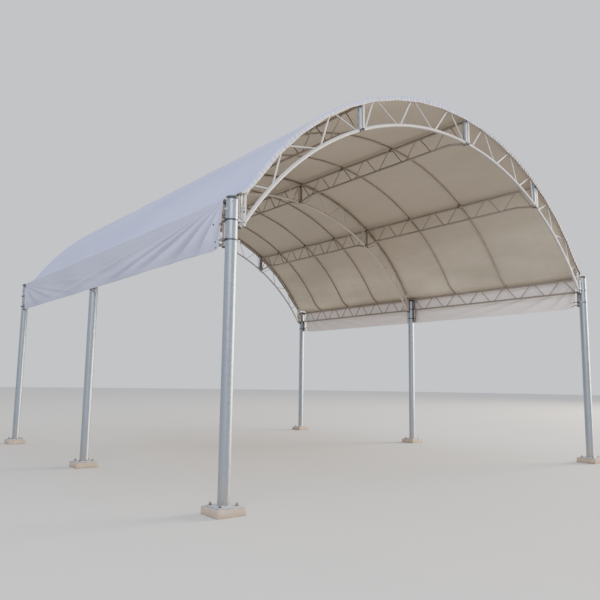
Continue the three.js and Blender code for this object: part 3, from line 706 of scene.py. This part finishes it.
def post_pipe(surface, x, y, top):
    """A pipe with a weld bead at its foot and a dark cap pressed over its head."""
    sides, r = bpy.context.scene.canopy_sizes.pipe_sides, POST_RADIUS
    bead = [(0, r), (0.006, r + 0.009), (0.010, r + 0.008), (0.014, r + 0.004), (0.018, r)]
    pipe = [(rise, r) for rise in (0.5, 1.2, 2.0, 2.8, top - PLATE_TOP - 0.004)]
    cap = [(0, r + 0.001), (0, r + 0.0055), (0.003, r + 0.007), (0.029, r + 0.007),
           (0.034, r + 0.004), (0.038, r - 0.008), (0.041, r - 0.03), (0.042, 0.012)]
    turned(surface, (x, y, PLATE_TOP - 0.006), UP, bead + pipe, COAT, sides)
    turned(surface, (x, y, top - 0.034), UP, cap, DARK, sides)


def post_foot(surface, x, y):
    """A base plate with four anchor bolts."""
    block(surface, (x, y, (PLATE_BOTTOM + PLATE_TOP) / 2),
          (PLATE_SIDE, PLATE_SIDE, PLATE_TOP - PLATE_BOTTOM), 0.002, PLATE)
    for dx in (-ANCHOR_REACH, ANCHOR_REACH):
        for dy in (-ANCHOR_REACH, ANCHOR_REACH):
            bolt(surface, (x + dx, y + dy, PLATE_TOP), UP, 0.032, 0.008, STUB)


def post_clamp(surface, row, sign, height):
    """A band round the post that is open where a stub stands."""
    turn = math.degrees(math.atan2(EAVE_STUB_OUT, EAVE_STUB_Y))
    ways = {"front": (1,), "middle": (1, -1), "back": (-1,)}[row]
    stubs = [way * (90 - sign * turn) % 360 for way in ways]
    if height > STUB_BOTTOM:
        stubs.append(180 if sign > 0 else 0)
    stubs.sort()
    for start, end in zip(stubs, [*stubs[1:], stubs[0] + 360]):
        centre = (sign * POST_X, ROWS[row], height)
        band(surface, centre, POST_RADIUS, start + CLAMP_GAP, end - CLAMP_GAP, DARK)


def clamp_bolt_end(surface, side, y, height):
    """The threaded end of a clamp bolt outboard of the post, with a curved washer and a nut.
    The thread is a radius that swings up and down along the stem."""
    sign, end = SIDES[side], POST_RADIUS + BOLT_REACH[side]
    x, axis = sign * POST_X, (sign, 0, 0)
    distance = np.linspace(POST_RADIUS - 0.010, end - 0.002, 64)
    radius = 0.0062 + 0.0008 * np.sin(distance * 2 * np.pi / 0.0045)
    slot = PLATE if height > BRIGHT_FROM else DARK
    turned(surface, (x, y, height), axis, [*zip(distance, radius), (end, 0.004)], slot, 10)
    outboard = 180 if sign < 0 else 0
    band(surface, (x, y, height), POST_RADIUS, outboard - 15, outboard + 15, slot, 0.030, 0.005, 10)
    hexagon(surface, (x + sign * (POST_RADIUS + 0.004), y, height), axis, 0.022, 0.012, slot)


def clamp_bolt_heads(surface, sign, y, outside):
    """The bright heads of the clamp bolts inboard of the post, and a small screw near its top."""
    x = sign * POST_X
    for height, inwards, dy in zip(BAND_HEIGHTS, (POST_RADIUS, POST_RADIUS - 0.014), (0.012, 0.048)):
        lug, head = ((x - sign * (inwards + d), y + outside * dy, height) for d in (0.010, 0.026))
        block(surface, lug, (0.034, 0.018, 0.024), 0.003, PLATE)
        hexagon(surface, head, (-sign, 0, 0), 0.020, 0.012, PLATE)
    way = np.array([sign * 0.52, outside * 0.85, 0])
    screw = np.array([x, y, SCREW_HEIGHT]) + way * (POST_RADIUS - 0.001)
    hexagon(surface, screw, way, 0.012, 0.005, DARK)


class CANOPY_OT_posts(bpy.types.Operator):
    """Six round posts with base plates, anchor bolts, clamps and caps"""

    bl_idname = "canopy.posts"
    bl_label = "Posts"

    def execute(self, context):
        f = finishes()
        materials = [f["post"], f["plate"], f["dark"], f["stub"]]
        for row, side, sign, y in post_places():
            surface = Surface()
            post_pipe(surface, sign * POST_X, y, POST_TOP[row])
            post_foot(surface, sign * POST_X, y)
            for height in BAND_HEIGHTS:
                post_clamp(surface, row, sign, height)
            if row != "middle":
                for height in BOLT_HEIGHTS:
                    clamp_bolt_end(surface, side, y, height)
                clamp_bolt_heads(surface, sign, y, OUTSIDE[row])
            surface.piece(f"steel_post_{row}_{side}", materials, "post_steel", [f"post_{row}_{side}"])
        return {"FINISHED"}


def arch_chords(surface, x0, x1, y, steps):
    """Both chords of an arch piece, each an arc between two x positions."""
    for chord, slot in (("top", TOP), ("bottom", COAT)):
        path = chord_point(chord, x0, x1, np.linspace(0, 1, steps), y)
        bent_pipe(surface, path, CHORD_RADIUS, (0, 1, 0), slot, 18)


def arch_webs(surface, x0, x1, y, panels, chords):
    """A zigzag of webs between panel points on the two chords, a little apart at each point."""
    spread = math.copysign(ARCH_WEB_SPREAD, x1 - x0)
    for k in range(len(panels) - 1):
        a = chord_point(chords[k % 2], x0, x1, panels[k], y, spread)
        b = chord_point(chords[(k + 1) % 2], x0, x1, panels[k + 1], y, -spread)
        rod(surface, a, b, ARCH_WEB_RADIUS, COAT, 12, WELD_FLARE)


def splice_bar(surface, splice, towards, y, slot):
    """The flat bar between the chords beside a splice, with its bolts and small clamps."""
    x = splice + towards * (SPLICE_CUT + SPLICE_WIDTH / 2)
    bottom, top = arch_height("bottom", x), arch_height("top", x)
    block(surface, (x, y, (bottom + top) / 2), (SPLICE_WIDTH, SPLICE_DEPTH, top - bottom), 0.003, slot)
    outer = x + towards * SPLICE_WIDTH / 2
    for share in (0.2, 0.5, 0.8):
        bolt(surface, (outer, y, bottom + share * (top - bottom)), (towards, 0, 0), 0.019, 0.008, slot)
    outside = 1 if y > 0 else -1
    clamps = [(bottom - 0.006, 0.038)]
    if towards < 0:
        clamps.append((top - 0.062, 0.034))
    for z, height in clamps:
        block(surface, (x, y + outside * 0.025, z), (0.036, 0.014, height), 0.003, DARK)


def arch_crown(surface, side, x0, x1, y):
    """Chords, webs and two splice bars between two splices."""
    reach = SPLICE_CUT + SPLICE_WIDTH
    arch_chords(surface, x0 + SPLICE_CUT, x1 - SPLICE_CUT, y, 30)
    arch_webs(surface, x0 + reach, x1 - reach, y, CROWN_PANELS[side], ("bottom", "top"))
    splice_bar(surface, x0, 1, y, COAT)
    splice_bar(surface, x1, -1, y, PLATE)


def arch_haunch(surface, row, sign, splice, y):
    """Chords and webs down to the upright, and the stub pipe beside the post."""
    end, inner = sign * ARCH_END_X, splice + sign * (SPLICE_CUT + SPLICE_WIDTH)
    arch_chords(surface, end, splice + sign * SPLICE_CUT, y, 34)
    arch_webs(surface, end, inner, y, HAUNCH_PANELS, ("top", "bottom"))
    splice_bar(surface, splice, sign, y, COAT if sign > 0 else PLATE)
    upright_top = arch_height("top", ARCH_END_X) + 0.012
    rod(surface, (end, y, UPRIGHT_BOTTOM), (end, y, upright_top), UPRIGHT_RADIUS, COAT, 18)
    stub, head, r = sign * STUB_X, STUB_TOP[row], STUB_RADIUS
    turned(surface, (stub, y, STUB_BOTTOM), UP,
           [(0, r - 0.004), (0, r), (head - STUB_BOTTOM - 0.012, r)], STUB, 32)
    cap = [(0, r + 0.0005), (0, r + 0.004), (0.018, r + 0.004), (0.022, r), (0.024, 0.01)]
    for z, way in ((head - 0.022, 1), (STUB_BOTTOM + 0.014, -1)):
        turned(surface, (stub, y, z), (0, 0, way), cap, DARK, 32)
    for z in (STUB_WEB_BOTTOM, (STUB_WEB_BOTTOM + head) / 2, head - 0.045):
        block(surface, (sign * (STUB_X + ARCH_END_X) / 2, y, z),
              (STUB_X - ARCH_END_X, 0.010, 0.060), 0.002, PLATE)
    outside = OUTSIDE[row]
    x, face = sign * (ARCH_END_X + 0.032), y + outside * (STUB_RADIUS - 0.004)
    block(surface, (x, face, FACE_PLATE_HEIGHT), (0.044, 0.010, 0.240), 0.003, PLATE)
    for z, slot in FACE_BOLTS:
        bolt(surface, (x - sign * 0.008, face + outside * 0.005, z), (0, outside, 0), 0.015, 0.004, slot)
    inboard = 180 if sign > 0 else 0
    for z in STUB_BANDS:
        band(surface, (stub, y, z), r, inboard - 162, inboard + 162, STUB, 0.016, 0.004, 30)


class CANOPY_OT_arches(bpy.types.Operator):
    """Three arched trusses, each in four bolted pieces, with the stubs that are clamped to the posts"""

    bl_idname = "canopy.arches"
    bl_label = "Arched trusses"

    def execute(self, context):
        f = finishes()
        # The top chords take the darker rib steel and the bottom chords the pale arch steel: painted
        # shade on the top chords.
        outer = [f[name] for name in ("arch", "splice", "dark", "stub", "rib")]
        middle = [f[name] for name in ("dull", "dull", "dark", "stub", "inner")]
        left, ridge, right = PURLIN_X.values()
        for row, y in ROWS.items():
            materials = middle if row == "middle" else outer
            for side, x0, x1 in (("left", left, ridge), ("right", ridge, right)):
                surface = Surface()
                arch_crown(surface, side, x0, x1, y)
                surface.piece(f"{row}_{side}_crown_truss", materials, "truss_steel",
                              [f"{row}_arch_{side}_crown"])
            for side, splice in (("left", left), ("right", right)):
                surface = Surface()
                arch_haunch(surface, row, SIDES[side], splice, y)
                surface.piece(f"{row}_{side}_haunch_truss", materials, "truss_steel",
                              [f"{row}_arch_{side}_haunch"])
        return {"FINISHED"}


def panel_points(bay):
    """Places along a bay and whether each lies on the top chord: one is at the middle arch."""
    panels = PANELS[bay]
    at_middle = panels if bay == "front" else 0
    halves = np.arange(int(panels * 2) + 1) / 2
    return [(place / panels, float(place - at_middle).is_integer()) for place in halves]


def line_truss(surface, x, y0, y1, top, bottom, ends, bay):
    """A truss in a plane across the span: two chords and a zigzag of webs. The bottom chord can
    dip to the height called ends where it meets an arch."""
    length = y1 - y0
    dip = length / (2 * PANELS[bay])
    low = [(x, y0, ends), (x, y0 + dip, bottom), (x, y1 - dip, bottom), (x, y1, ends)]
    if ends == bottom:
        low = [low[0], low[-1]]
    for a, b in [((x, y0, top), (x, y1, top)), *zip(low[:-1], low[1:])]:
        bent_pipe(surface, np.array([a, b]), LINE_RADIUS, (1, 0, 0), COAT, 16)
    points = panel_points(bay)
    for k, ((p, p_top), (q, q_top)) in enumerate(zip(points[:-1], points[1:])):
        p_low = ends if k == 0 else bottom
        q_low = ends if k == len(points) - 2 else bottom
        rod(surface, (x, y0 + length * p + LINE_WEB_SPREAD, top if p_top else p_low),
            (x, y0 + length * q - LINE_WEB_SPREAD, top if q_top else q_low),
            LINE_WEB_RADIUS, COAT, 10, WELD_FLARE)


def purlin_tongue(surface, x, row, into):
    """The flat bar between two arch pieces at a splice."""
    width = 0.024
    bottom = arch_height("bottom", x) - CHORD_RADIUS
    top = arch_height("top", abs(x) + width / 2)
    start = 0.00015 if row == "middle" else -CHORD_RADIUS
    depth = CHORD_RADIUS + 0.034 - start
    # At the front arch the tongue takes the dark steel: painted shade in the gap between the splice bars.
    block(surface, (x, ROWS[row] + into * (start + depth / 2), (top + bottom) / 2),
          (width, depth, top - bottom), 0.003, FITTING if row == "front" else COAT)


class CANOPY_OT_purlins(bpy.types.Operator):
    """Three purlin trusses in each bay, with the tongues that go into the splices"""

    bl_idname = "canopy.purlins"
    bl_label = "Purlin trusses"

    def execute(self, context):
        f = finishes()
        inset = CHORD_RADIUS + 0.0003
        for bay, rows in BAYS.items():
            for place, x in PURLIN_X.items():
                surface = Surface()
                top = purlin_height(x)
                line_truss(surface, x, ROWS[rows[0]] + inset, ROWS[rows[1]] - inset, top,
                           top - PURLIN_DEPTH, arch_height("bottom", x), bay)
                for row, into in zip(rows, (1, -1)):
                    purlin_tongue(surface, x, row, into)
                surface.piece(f"{bay}_{place}_purlin_truss", [f["inner"], f["dark"]], "truss_steel",
                              [f"{place}_purlin_{bay}_bay"])
        return {"FINISHED"}


def eave_stub(surface, sign, y, way):
    """A short capped pipe beside the post, and two thin rods from its head to the top chord."""
    r, x = EAVE_STUB_RADIUS, sign * (POST_X + EAVE_STUB_OUT)
    length = EAVE_STUB_TOP - EAVE_STUB_BOTTOM
    pipe = [(0, r - 0.003), (0, r), (length - 0.004, r)]
    turned(surface, (x, y, EAVE_STUB_BOTTOM), UP, pipe, CAPPED, 24)
    cap = [(0, r + 0.0005), (0, r + 0.0035), (0.013, r + 0.0035), (0.018, r), (0.020, 0.008)]
    for z, direction in ((EAVE_STUB_TOP - 0.018, 1), (EAVE_STUB_BOTTOM + 0.014, -1)):
        turned(surface, (x, y, z), (0, 0, direction), cap, FITTING, 24)
    for lift in (-0.011, 0.011):
        low, high = ((x, y + lift, z) for z in (EAVE_STUB_TOP - 0.01, EAVE_TOP + 0.014))
        rod(surface, low, high, 0.0055, FITTING, 8)
    block(surface, (x - sign * 0.006, y, EAVE_TOP + 0.002), (0.058, 0.044, 0.052), 0.004, FITTING)
    towards = math.degrees(math.atan2(-way * EAVE_STUB_Y, -sign * EAVE_STUB_OUT))
    for z in BAND_HEIGHTS:
        band(surface, (x, y, z), r, towards + 24, towards + 336, FITTING, height=0.018, steps=28)


class CANOPY_OT_eave_trusses(bpy.types.Operator):
    """Four eave trusses that hang between the posts"""

    bl_idname = "canopy.eave_trusses"
    bl_label = "Eave trusses"

    def execute(self, context):
        f = finishes()
        for bay, rows in BAYS.items():
            y0, y1 = ROWS[rows[0]] + EAVE_STUB_Y, ROWS[rows[1]] - EAVE_STUB_Y
            for side, sign in SIDES.items():
                surface = Surface()
                line_truss(surface, sign * POST_X, y0, y1, EAVE_TOP, EAVE_BOTTOM, EAVE_BOTTOM, bay)
                for y, way in ((y0, 1), (y1, -1)):
                    eave_stub(surface, sign, y, way)
                surface.piece(f"{bay}_{side}_eave_truss", [f["inner"], f["dark"], f["stub"]],
                              "truss_steel", [f"eave_truss_{side}_{bay}_bay"])
        return {"FINISHED"}


def rib_straps(surface, x, y):
    """Two straps where a rib crosses a purlin, one bent under the rib and one round the chord
    below it, and their bolts. Each is an arc of a circle that is open at the top."""
    px, pz = roof_line(x, -RIB_DROP)
    chord = purlin_height(x)
    section = rounded_rectangle(0.026, 0.004, 0.0015, 2)
    a = np.radians(np.linspace(-215, 35, 24))
    level, rise = np.cos(a), np.sin(a)
    under_rib = (RIB_RADIUS + 0.002) * np.stack([0 * a, level, rise], 1)
    surface.add(sweep(section, [px, y, pz] + under_rib, (1, 0, 0)), FITTING)
    round_chord = (LINE_RADIUS + 0.002) * np.stack([level, 0 * a, rise], 1)
    surface.add(sweep(section, [x, y, chord] + round_chord, (0, 1, 0)), FITTING)
    for way in (-1, 1):
        bolt(surface, (x + way * 0.020, y, chord - 0.010), (way, 0, 0), 0.013, 0.004, FITTING)


class CANOPY_OT_ribs(bpy.types.Operator):
    """Bent pipes that carry the membrane between the arches"""

    bl_idname = "canopy.ribs"
    bl_label = "Ribs"

    def execute(self, context):
        f = finishes()
        px, pz = roof_line(roof_positions(150, CREST_X)[0], -RIB_DROP)
        for name, y in RIB_Y.items():
            surface = Surface()
            path = np.stack([px, np.full(len(px), y), pz], 1)
            bent_pipe(surface, path, RIB_RADIUS, (0, 1, 0), COAT, 16)
            for place in PURLIN_X.values():
                rib_straps(surface, place, y)
            surface.piece(f"{name}_pipe", [f["rib"], f["dark"]], "rib_steel", [name])
        return {"FINISHED"}


def membrane_offset(x, y, sag):
    """How far the cloth lies outside the roof line: it touches each arch and rib, and between two
    of them it hollows by sag * length^2 * 4 s (1 - s), with s the share of the way across."""
    holds = np.array(sorted([*ROWS.values(), *RIB_Y.values()]))
    spot = np.clip(np.searchsorted(holds, y) - 1, 0, len(holds) - 2)
    start, length = holds[spot], holds[spot + 1] - holds[spot]
    share = np.clip((y - start) / length, 0, 1)
    hollow = sag * (length / 1.4) ** 2 * 4 * share * (1 - share)
    near_eave = 1 - 0.35 * smooth_step(np.abs(x), 3.4, 3.9)
    drift = 0.0016 * np.sin(1.9 * x + 0.6 * y) * np.sin(0.8 * y - 0.9 * x + 1.0)
    return 0.0045 - hollow * near_eave + drift * 4 * share * (1 - share)


def roof_end(x):
    """How far the roof reaches along the ridge: it is cut back over the heads of the corner posts,
    in a straight slanting line that starts at the stub."""
    cut = np.clip((np.abs(x) - NOTCH_X) / (DRAWN_X - NOTCH_X), 0, 1)
    return ROOF_END_Y - 0.004 - (ROOF_END_Y - NOTCH_Y) * cut


def fold_x(y):
    """Where the fold lies: on a line that is drawn in from DRAWN_FROM to the end of the valance,
    with the kink rounded off by a parabola."""
    past = np.abs(y) - DRAWN_FROM
    blend = 0.12
    run = np.where(past > blend, past, np.maximum(past + blend, 0) ** 2 / (4 * blend))
    return FOLD_X - run * (FOLD_X - DRAWN_X) / (VALANCE_TOP_END - DRAWN_FROM)


def drawn_in(x, y):
    """x positions carried inwards with the fold: past 3.96 m they move in proportion to their
    distance from there, so that the last one lies on the fold."""
    start = 3.96
    share = np.maximum(np.abs(x) - start, 0) / (FOLD_X - start)
    return np.where(np.abs(x) > start, np.sign(x) * (start + share * (fold_x(y) - start)), x)


def thicken(piece, thickness):
    """Gives the cloth its thickness inwards. The inner face takes the second material."""
    solidify = piece.modifiers.new("cloth_thickness", "SOLIDIFY")
    solidify.thickness = thickness
    solidify.offset = -1
    solidify.material_offset = 1


def arch_hem(row, way, s, material):
    """A band laid over the edge of the roof and turned down in front of the arch. Its gathers
    are sine waves along the arch that grow towards the edge, and its edge is drawn up in
    shallow scallops between its ties."""
    x, across = roof_positions(900, NOTCH_X)
    along = np.linspace(0, across, len(x))
    # share 0 is on the roof, share 1 at the lower edge
    share = np.linspace(0, 1, 22)[:, None]
    lap, bend = 0.085, 0.014
    drop = s.hem_depth * (1 - 0.45 * smooth_step(np.abs(x), 3.70, HEM_END_X)
                          - 0.29 * smooth_step(np.abs(x), HEM_END_X, NOTCH_X))
    distance = share * (lap + drop)
    past = distance - lap + bend
    angle = np.clip(past / bend, 0, np.pi / 2)
    out = np.minimum(distance, lap - bend) + bend * np.sin(angle)
    down = bend * (1 - np.cos(angle)) + np.maximum(past - bend * np.pi / 2, 0)
    slow = 0.6 + 0.4 * np.sin(1.7 * along + 0.8) * np.sin(0.63 * along)
    wave = (np.sin(2 * np.pi * along / 0.074 + 2.2 * np.sin(1.9 * along))
            + 0.55 * np.sin(2 * np.pi * along / 0.045 + 1.3 * np.sin(2.7 * along) + way))
    pucker = s.hem_pucker * wave * slow * smooth_step(share, 0.12, 0.75)
    scallop = 0.009 * (1 - np.abs(np.cos(np.pi * along / 0.52))) * smooth_step(share, 0.5, 1)
    columns = np.broadcast_to(x, pucker.shape)
    turned_down = angle > 0.8
    y = way * (ROOF_END_Y - 0.004 - lap + bend + out + np.where(turned_down, pucker, 0) * 0.9)
    base = membrane_offset(columns, np.clip(y, ROWS["front"], ROWS["back"]), s.roof_sag)
    outwards = base + 0.0012 - down + scallop + np.where(turned_down, 0.2, 1.0) * pucker * 0.6
    px, pz = roof_line(columns, outwards)
    surface = Surface()
    surface.add(np.stack([px, y, pz], -1), around=False, flip=way < 0)
    hem = surface.piece(f"{row}_arch_hem", [material, material], "membrane", sharp=80)
    thicken(hem, s.cloth_thickness)
    return hem


class CANOPY_OT_roof(bpy.types.Operator):
    """One membrane over the arches, with a gathered hem over both outer arches"""

    bl_idname = "canopy.roof"
    bl_label = "Roof membrane"

    def execute(self, context):
        f, s = finishes(), context.scene.canopy_sizes
        x, across = roof_positions(300, FOLD_X)
        y = np.linspace(-1, 1, 160)[:, None] * roof_end(x)
        columns = drawn_in(np.broadcast_to(x, y.shape), y)
        px, pz = roof_line(columns, membrane_offset(columns, y, s.roof_sag))
        surface = Surface()
        surface.add(np.stack([px, y, pz], -1), around=False)
        roof = surface.piece("roof_cloth", [f["outside"], f["inside"]], "membrane", ["roof_membrane"], 80)
        thicken(roof, s.cloth_thickness)
        hems = [arch_hem(row, OUTSIDE[row], s, f["hem"]) for row in ("front", "back")]
        return {"FINISHED"}


def fan_folds(reach, drop, depth):
    """Folds that run straight from a corner: a sine wave of the place where the line from the
    corner meets the lower edge, closer together near the corner, and fading along the eave."""
    meets = reach / np.maximum(drop, 0.05)
    phase = 2 * np.pi * 2.6 * np.log1p(meets / 0.70) + 0.9 * np.sin(1.7 * meets + 0.6)
    fade = np.exp(-meets / 3.4) * smooth_step(meets, 0.02, 0.40)
    hold = 1 - 0.88 * smooth_step(drop, 0.70, 0.98)
    wave = np.sin(phase + 0.5) + 0.25 * np.sin(2 * phase + 1.9)
    return depth * (wave + 0.55) * fade * hold * drop ** 0.7


def valance_cloth(sign, s):
    """Even rows from the fold, which is drawn in at both ends, to the lower edge, whose ends
    slant back. The folds fan out from both upper corners, and slow waves fill the middle. It
    also gives how far the folds stand out."""
    drop = np.linspace(0, 1, 44)[:, None]
    share = np.linspace(-1, 1, 460)[None]
    y = share * (VALANCE_TOP_END - 0.012 - (VALANCE_TOP_END - VALANCE_BOTTOM_END) * drop)
    fold, top = roof_line(fold_x(y), membrane_offset(fold_x(y), y, s.roof_sag))
    z = top - drop * (top - VALANCE_BOTTOM) - 0.006 * drop * np.cos(np.pi * share / 2)
    depth = s.fold_depth * (1.0 if sign < 0 else 0.6)
    x = fan_folds(y + VALANCE_TOP_END, drop, depth)
    x += 0.5 * fan_folds(VALANCE_TOP_END - y, drop, depth)
    middle = np.cos(np.pi * share / 2) ** 0.5 * np.sin(np.pi * drop / 2)
    x += 0.008 * np.sin(2.9 * y + 1.8 * drop + 0.4) * middle
    folds = x - 0.010 * drop
    corner = np.exp(-(1 - np.abs(share)) * VALANCE_TOP_END / 0.07)
    z += 0.030 * corner * drop ** 4
    x += 0.0025 * np.sin(7.3 * y - 5 * drop) * drop
    x += 0.0016 * np.exp(-((z - VALANCE_SEAM) / 0.010) ** 2)
    x += 0.0014 * smooth_step(drop, 0.925, 0.935)
    return np.stack([sign * (fold + 0.001 + x), y, z], -1), folds


def valance_eyelets(side, sign, grid, material):
    """Metal rings through both ends of the valance, each at the grid point nearest to its
    height and its distance from the end."""
    surface = Surface()
    for end in (-1, 1):
        for z, back in EYELETS:
            row = np.argmin(np.abs(grid[:, 0, 2] - z))
            y = end * (np.abs(grid[row, 0, 1]) - back)
            place = grid[row, np.argmin(np.abs(grid[row, :, 1] - y))]
            turned(surface, place - [sign * 0.006, 0, 0], (sign, 0, 0),
                   [(0, 0.010), (0.001, 0.013), (0.008, 0.013), (0.0095, 0.010)], 0, 20)
    return surface.piece(f"{side}_valance_eyelets", [material], "post_steel")


class CANOPY_OT_valances(bpy.types.Operator):
    """A valance along each eave, with folds from its upper corners, hems and eyelets"""

    bl_idname = "canopy.valances"
    bl_label = "Valances"

    def execute(self, context):
        f, s = finishes(), context.scene.canopy_sizes
        for side, sign in SIDES.items():
            surface = Surface()
            grid, folds = valance_cloth(sign, s)
            surface.add(grid, around=False, flip=sign > 0)
            valance = surface.piece(f"{side}_valance_cloth", [f["valance"], f["lining"]], "membrane",
                                    [f"valance_{side}"], 80)
            # how far each point lies back in a fold, which drives painted shade in the hollows
            hollow = valance.data.attributes.new("hollow", "FLOAT", "POINT")
            hollow.data.foreach_set("value", (0.45 - 26 * folds).clip(0, 1).astype(np.float32).ravel())
            thicken(valance, s.cloth_thickness)
            eyelets = valance_eyelets(side, sign, grid, f["dark"])
        return {"FINISHED"}


def rope_loop(surface, sign, y0, into, z, reach):
    """A closed loop of rope round the stub and out to an eyelet: a circle whose one side is
    drawn out along the line to the eyelet. It is kept off the post beside the stub."""
    a = np.linspace(0, 2 * np.pi, 40, endpoint=False)
    r = EAVE_STUB_RADIUS + 0.004
    way = unit([0.016, reach])
    out = ((1 + np.cos(a)) / 2) ** 2
    ahead = r * np.cos(a) + (reach - r) * out
    across = r * np.sin(a) * (1 - 0.80 * out)
    x = POST_X + EAVE_STUB_OUT + way[0] * ahead + way[1] * across
    y = np.maximum(way[1] * ahead - way[0] * across, -0.018)
    path = np.stack([sign * x, y0 + into * y, z + 0.005 * np.sin(a)], 1)
    surface.add(sweep(circle(8, 0.004), path, UP, closed=True), 0, closed=True)


def corner_lug(surface, sign, y):
    """A small bolted lug outboard of the post head, where the corner of the roof is held."""
    x = sign * (POST_X + 0.030)
    block(surface, (x, y, LUG_HEIGHT), (0.030, 0.034, 0.045), 0.004, FITTING)
    bolt(surface, (x + sign * 0.015, y, LUG_HEIGHT), (sign, 0, 0), 0.020, 0.010, FITTING)


class CANOPY_OT_ties(bpy.types.Operator):
    """Lashings from the ends of the valances to the stubs beside the corner posts"""

    bl_idname = "canopy.ties"
    bl_label = "Ties"

    def execute(self, context):
        f = finishes()
        for row, side, sign, y in post_places(("front", "back")):
            surface = Surface()
            into = -OUTSIDE[row]
            for z, reach in TIES:
                for lift in (0.0, 0.010):
                    rope_loop(surface, sign, y + into * EAVE_STUB_Y, into, z + lift, reach)
            corner_lug(surface, sign, y + into * 0.083)
            surface.piece(f"{row}_{side}_tie", [f["rope"], f["dark"]], "post_steel")
        return {"FINISHED"}


def pale_disc():
    """A level disc for the floor: triangles from its middle to its rim."""
    sides, radius = 96, 90.0
    mesh = bpy.data.meshes.new("floor")
    points = np.concatenate([[[0, 0, 0]], np.column_stack([circle(sides, radius), np.zeros(sides)])])
    k = np.arange(sides)
    mesh.from_pydata(points, [], np.stack([0 * k, 1 + k, 1 + (k + 1) % sides], 1).tolist())
    mesh.materials.append(pale_floor("pale_floor"))
    floor = bpy.data.objects.new("floor", mesh)
    bpy.context.scene.collection.objects.link(floor)


def photo_camera(scene):
    """Looks along its yaw and pitch from where the photograph was taken."""
    yaw, pitch, roll = CAMERA_YAW, CAMERA_PITCH, CAMERA_ROLL
    flat = math.cos(pitch)
    ahead = Vector((math.sin(yaw) * flat, math.cos(yaw) * flat, math.sin(pitch)))
    level = Vector((math.cos(yaw), -math.sin(yaw), 0))
    above = level.cross(ahead)
    right = math.cos(roll) * level + math.sin(roll) * above
    up = -math.sin(roll) * level + math.cos(roll) * above
    data = bpy.data.cameras.new("camera")
    data.lens, data.sensor_width = CAMERA_LENS, 36.0
    data.clip_end = 400
    camera = bpy.data.objects.new("camera", data)
    camera.matrix_world = Matrix((right, up, -ahead)).transposed().to_4x4()
    camera.location = CAMERA_PLACE
    scene.collection.objects.link(camera)
    scene.camera = camera


def studio_lights():
    """A wide, low, warm lamp far out on the right, a cool one high at the front, and an even sky."""
    for name, place, size, power, colour in (
        ("warm", (40, -14, 9.5), 17.0, 42000, (1.0, 0.88, 0.72)),
        ("cool", (-15, -17, 12), 10.0, 2600, (0.80, 0.87, 1.0)),
    ):
        data = bpy.data.lights.new(name, "AREA")
        data.size, data.energy, data.color = size, power, colour
        light = bpy.data.objects.new(name, data)
        light.location = place
        light.visible_camera = False
        aim = Vector((0, 0, 2.5)) - Vector(place)
        light.rotation_euler = aim.to_track_quat("-Z", "Y").to_euler()
        bpy.context.scene.collection.objects.link(light)
    world = bpy.data.worlds.get("sky") or bpy.data.worlds.new("sky")
    world.use_nodes = True
    background = world.node_tree.nodes["Background"]
    background.inputs["Color"].default_value = (0.90, 0.93, 1.0, 1)
    background.inputs["Strength"].default_value = 1.05
    bpy.context.scene.world = world


class CANOPY_OT_stage(bpy.types.Operator):
    """Pale floor, soft studio light and the camera"""

    bl_idname = "canopy.stage"
    bl_label = "Stage"

    def execute(self, context):
        pale_disc()
        photo_camera(context.scene)
        studio_lights()
        return {"FINISHED"}


class CANOPY_PT_panel(bpy.types.Panel):
    """Lists the sizes, the colours and the pieces of the canopy"""

    bl_label = "Membrane Canopy"
    bl_idname = "CANOPY_PT_panel"
    bl_space_type = "VIEW_3D"
    bl_region_type = "UI"
    bl_category = "Canopy"

    def draw(self, context):
        for group in (context.scene.canopy_sizes, context.scene.canopy_colours):
            box = self.layout.box()
            for name in group.__annotations__:
                box.prop(group, name)
        for operator in OPERATORS:
            self.layout.operator(operator.bl_idname)


OPERATORS = (
    CANOPY_OT_pads,
    CANOPY_OT_posts,
    CANOPY_OT_arches,
    CANOPY_OT_purlins,
    CANOPY_OT_eave_trusses,
    CANOPY_OT_ribs,
    CANOPY_OT_roof,
    CANOPY_OT_valances,
    CANOPY_OT_ties,
    CANOPY_OT_stage,
)
CLASSES = (CanopySizes, CanopyColours, *OPERATORS, CANOPY_PT_panel)


def register():
    """Adds the classes, and the sizes and colours of a scene."""
    for each in CLASSES:
        bpy.utils.register_class(each)
    bpy.types.Scene.canopy_sizes = PointerProperty(type=CanopySizes)
    bpy.types.Scene.canopy_colours = PointerProperty(type=CanopyColours)


def unregister():
    """Takes away what register adds."""
    del bpy.types.Scene.canopy_colours
    del bpy.types.Scene.canopy_sizes
    for each in reversed(CLASSES):
        bpy.utils.unregister_class(each)


def main():
    """Builds the whole canopy."""
    register()
    bpy.ops.canopy.pads()
    bpy.ops.canopy.posts()
    bpy.ops.canopy.arches()
    bpy.ops.canopy.purlins()
    bpy.ops.canopy.eave_trusses()
    bpy.ops.canopy.ribs()
    bpy.ops.canopy.roof()
    bpy.ops.canopy.valances()
    bpy.ops.canopy.ties()
    bpy.ops.canopy.stage()


if __name__ == "__main__":
    main()
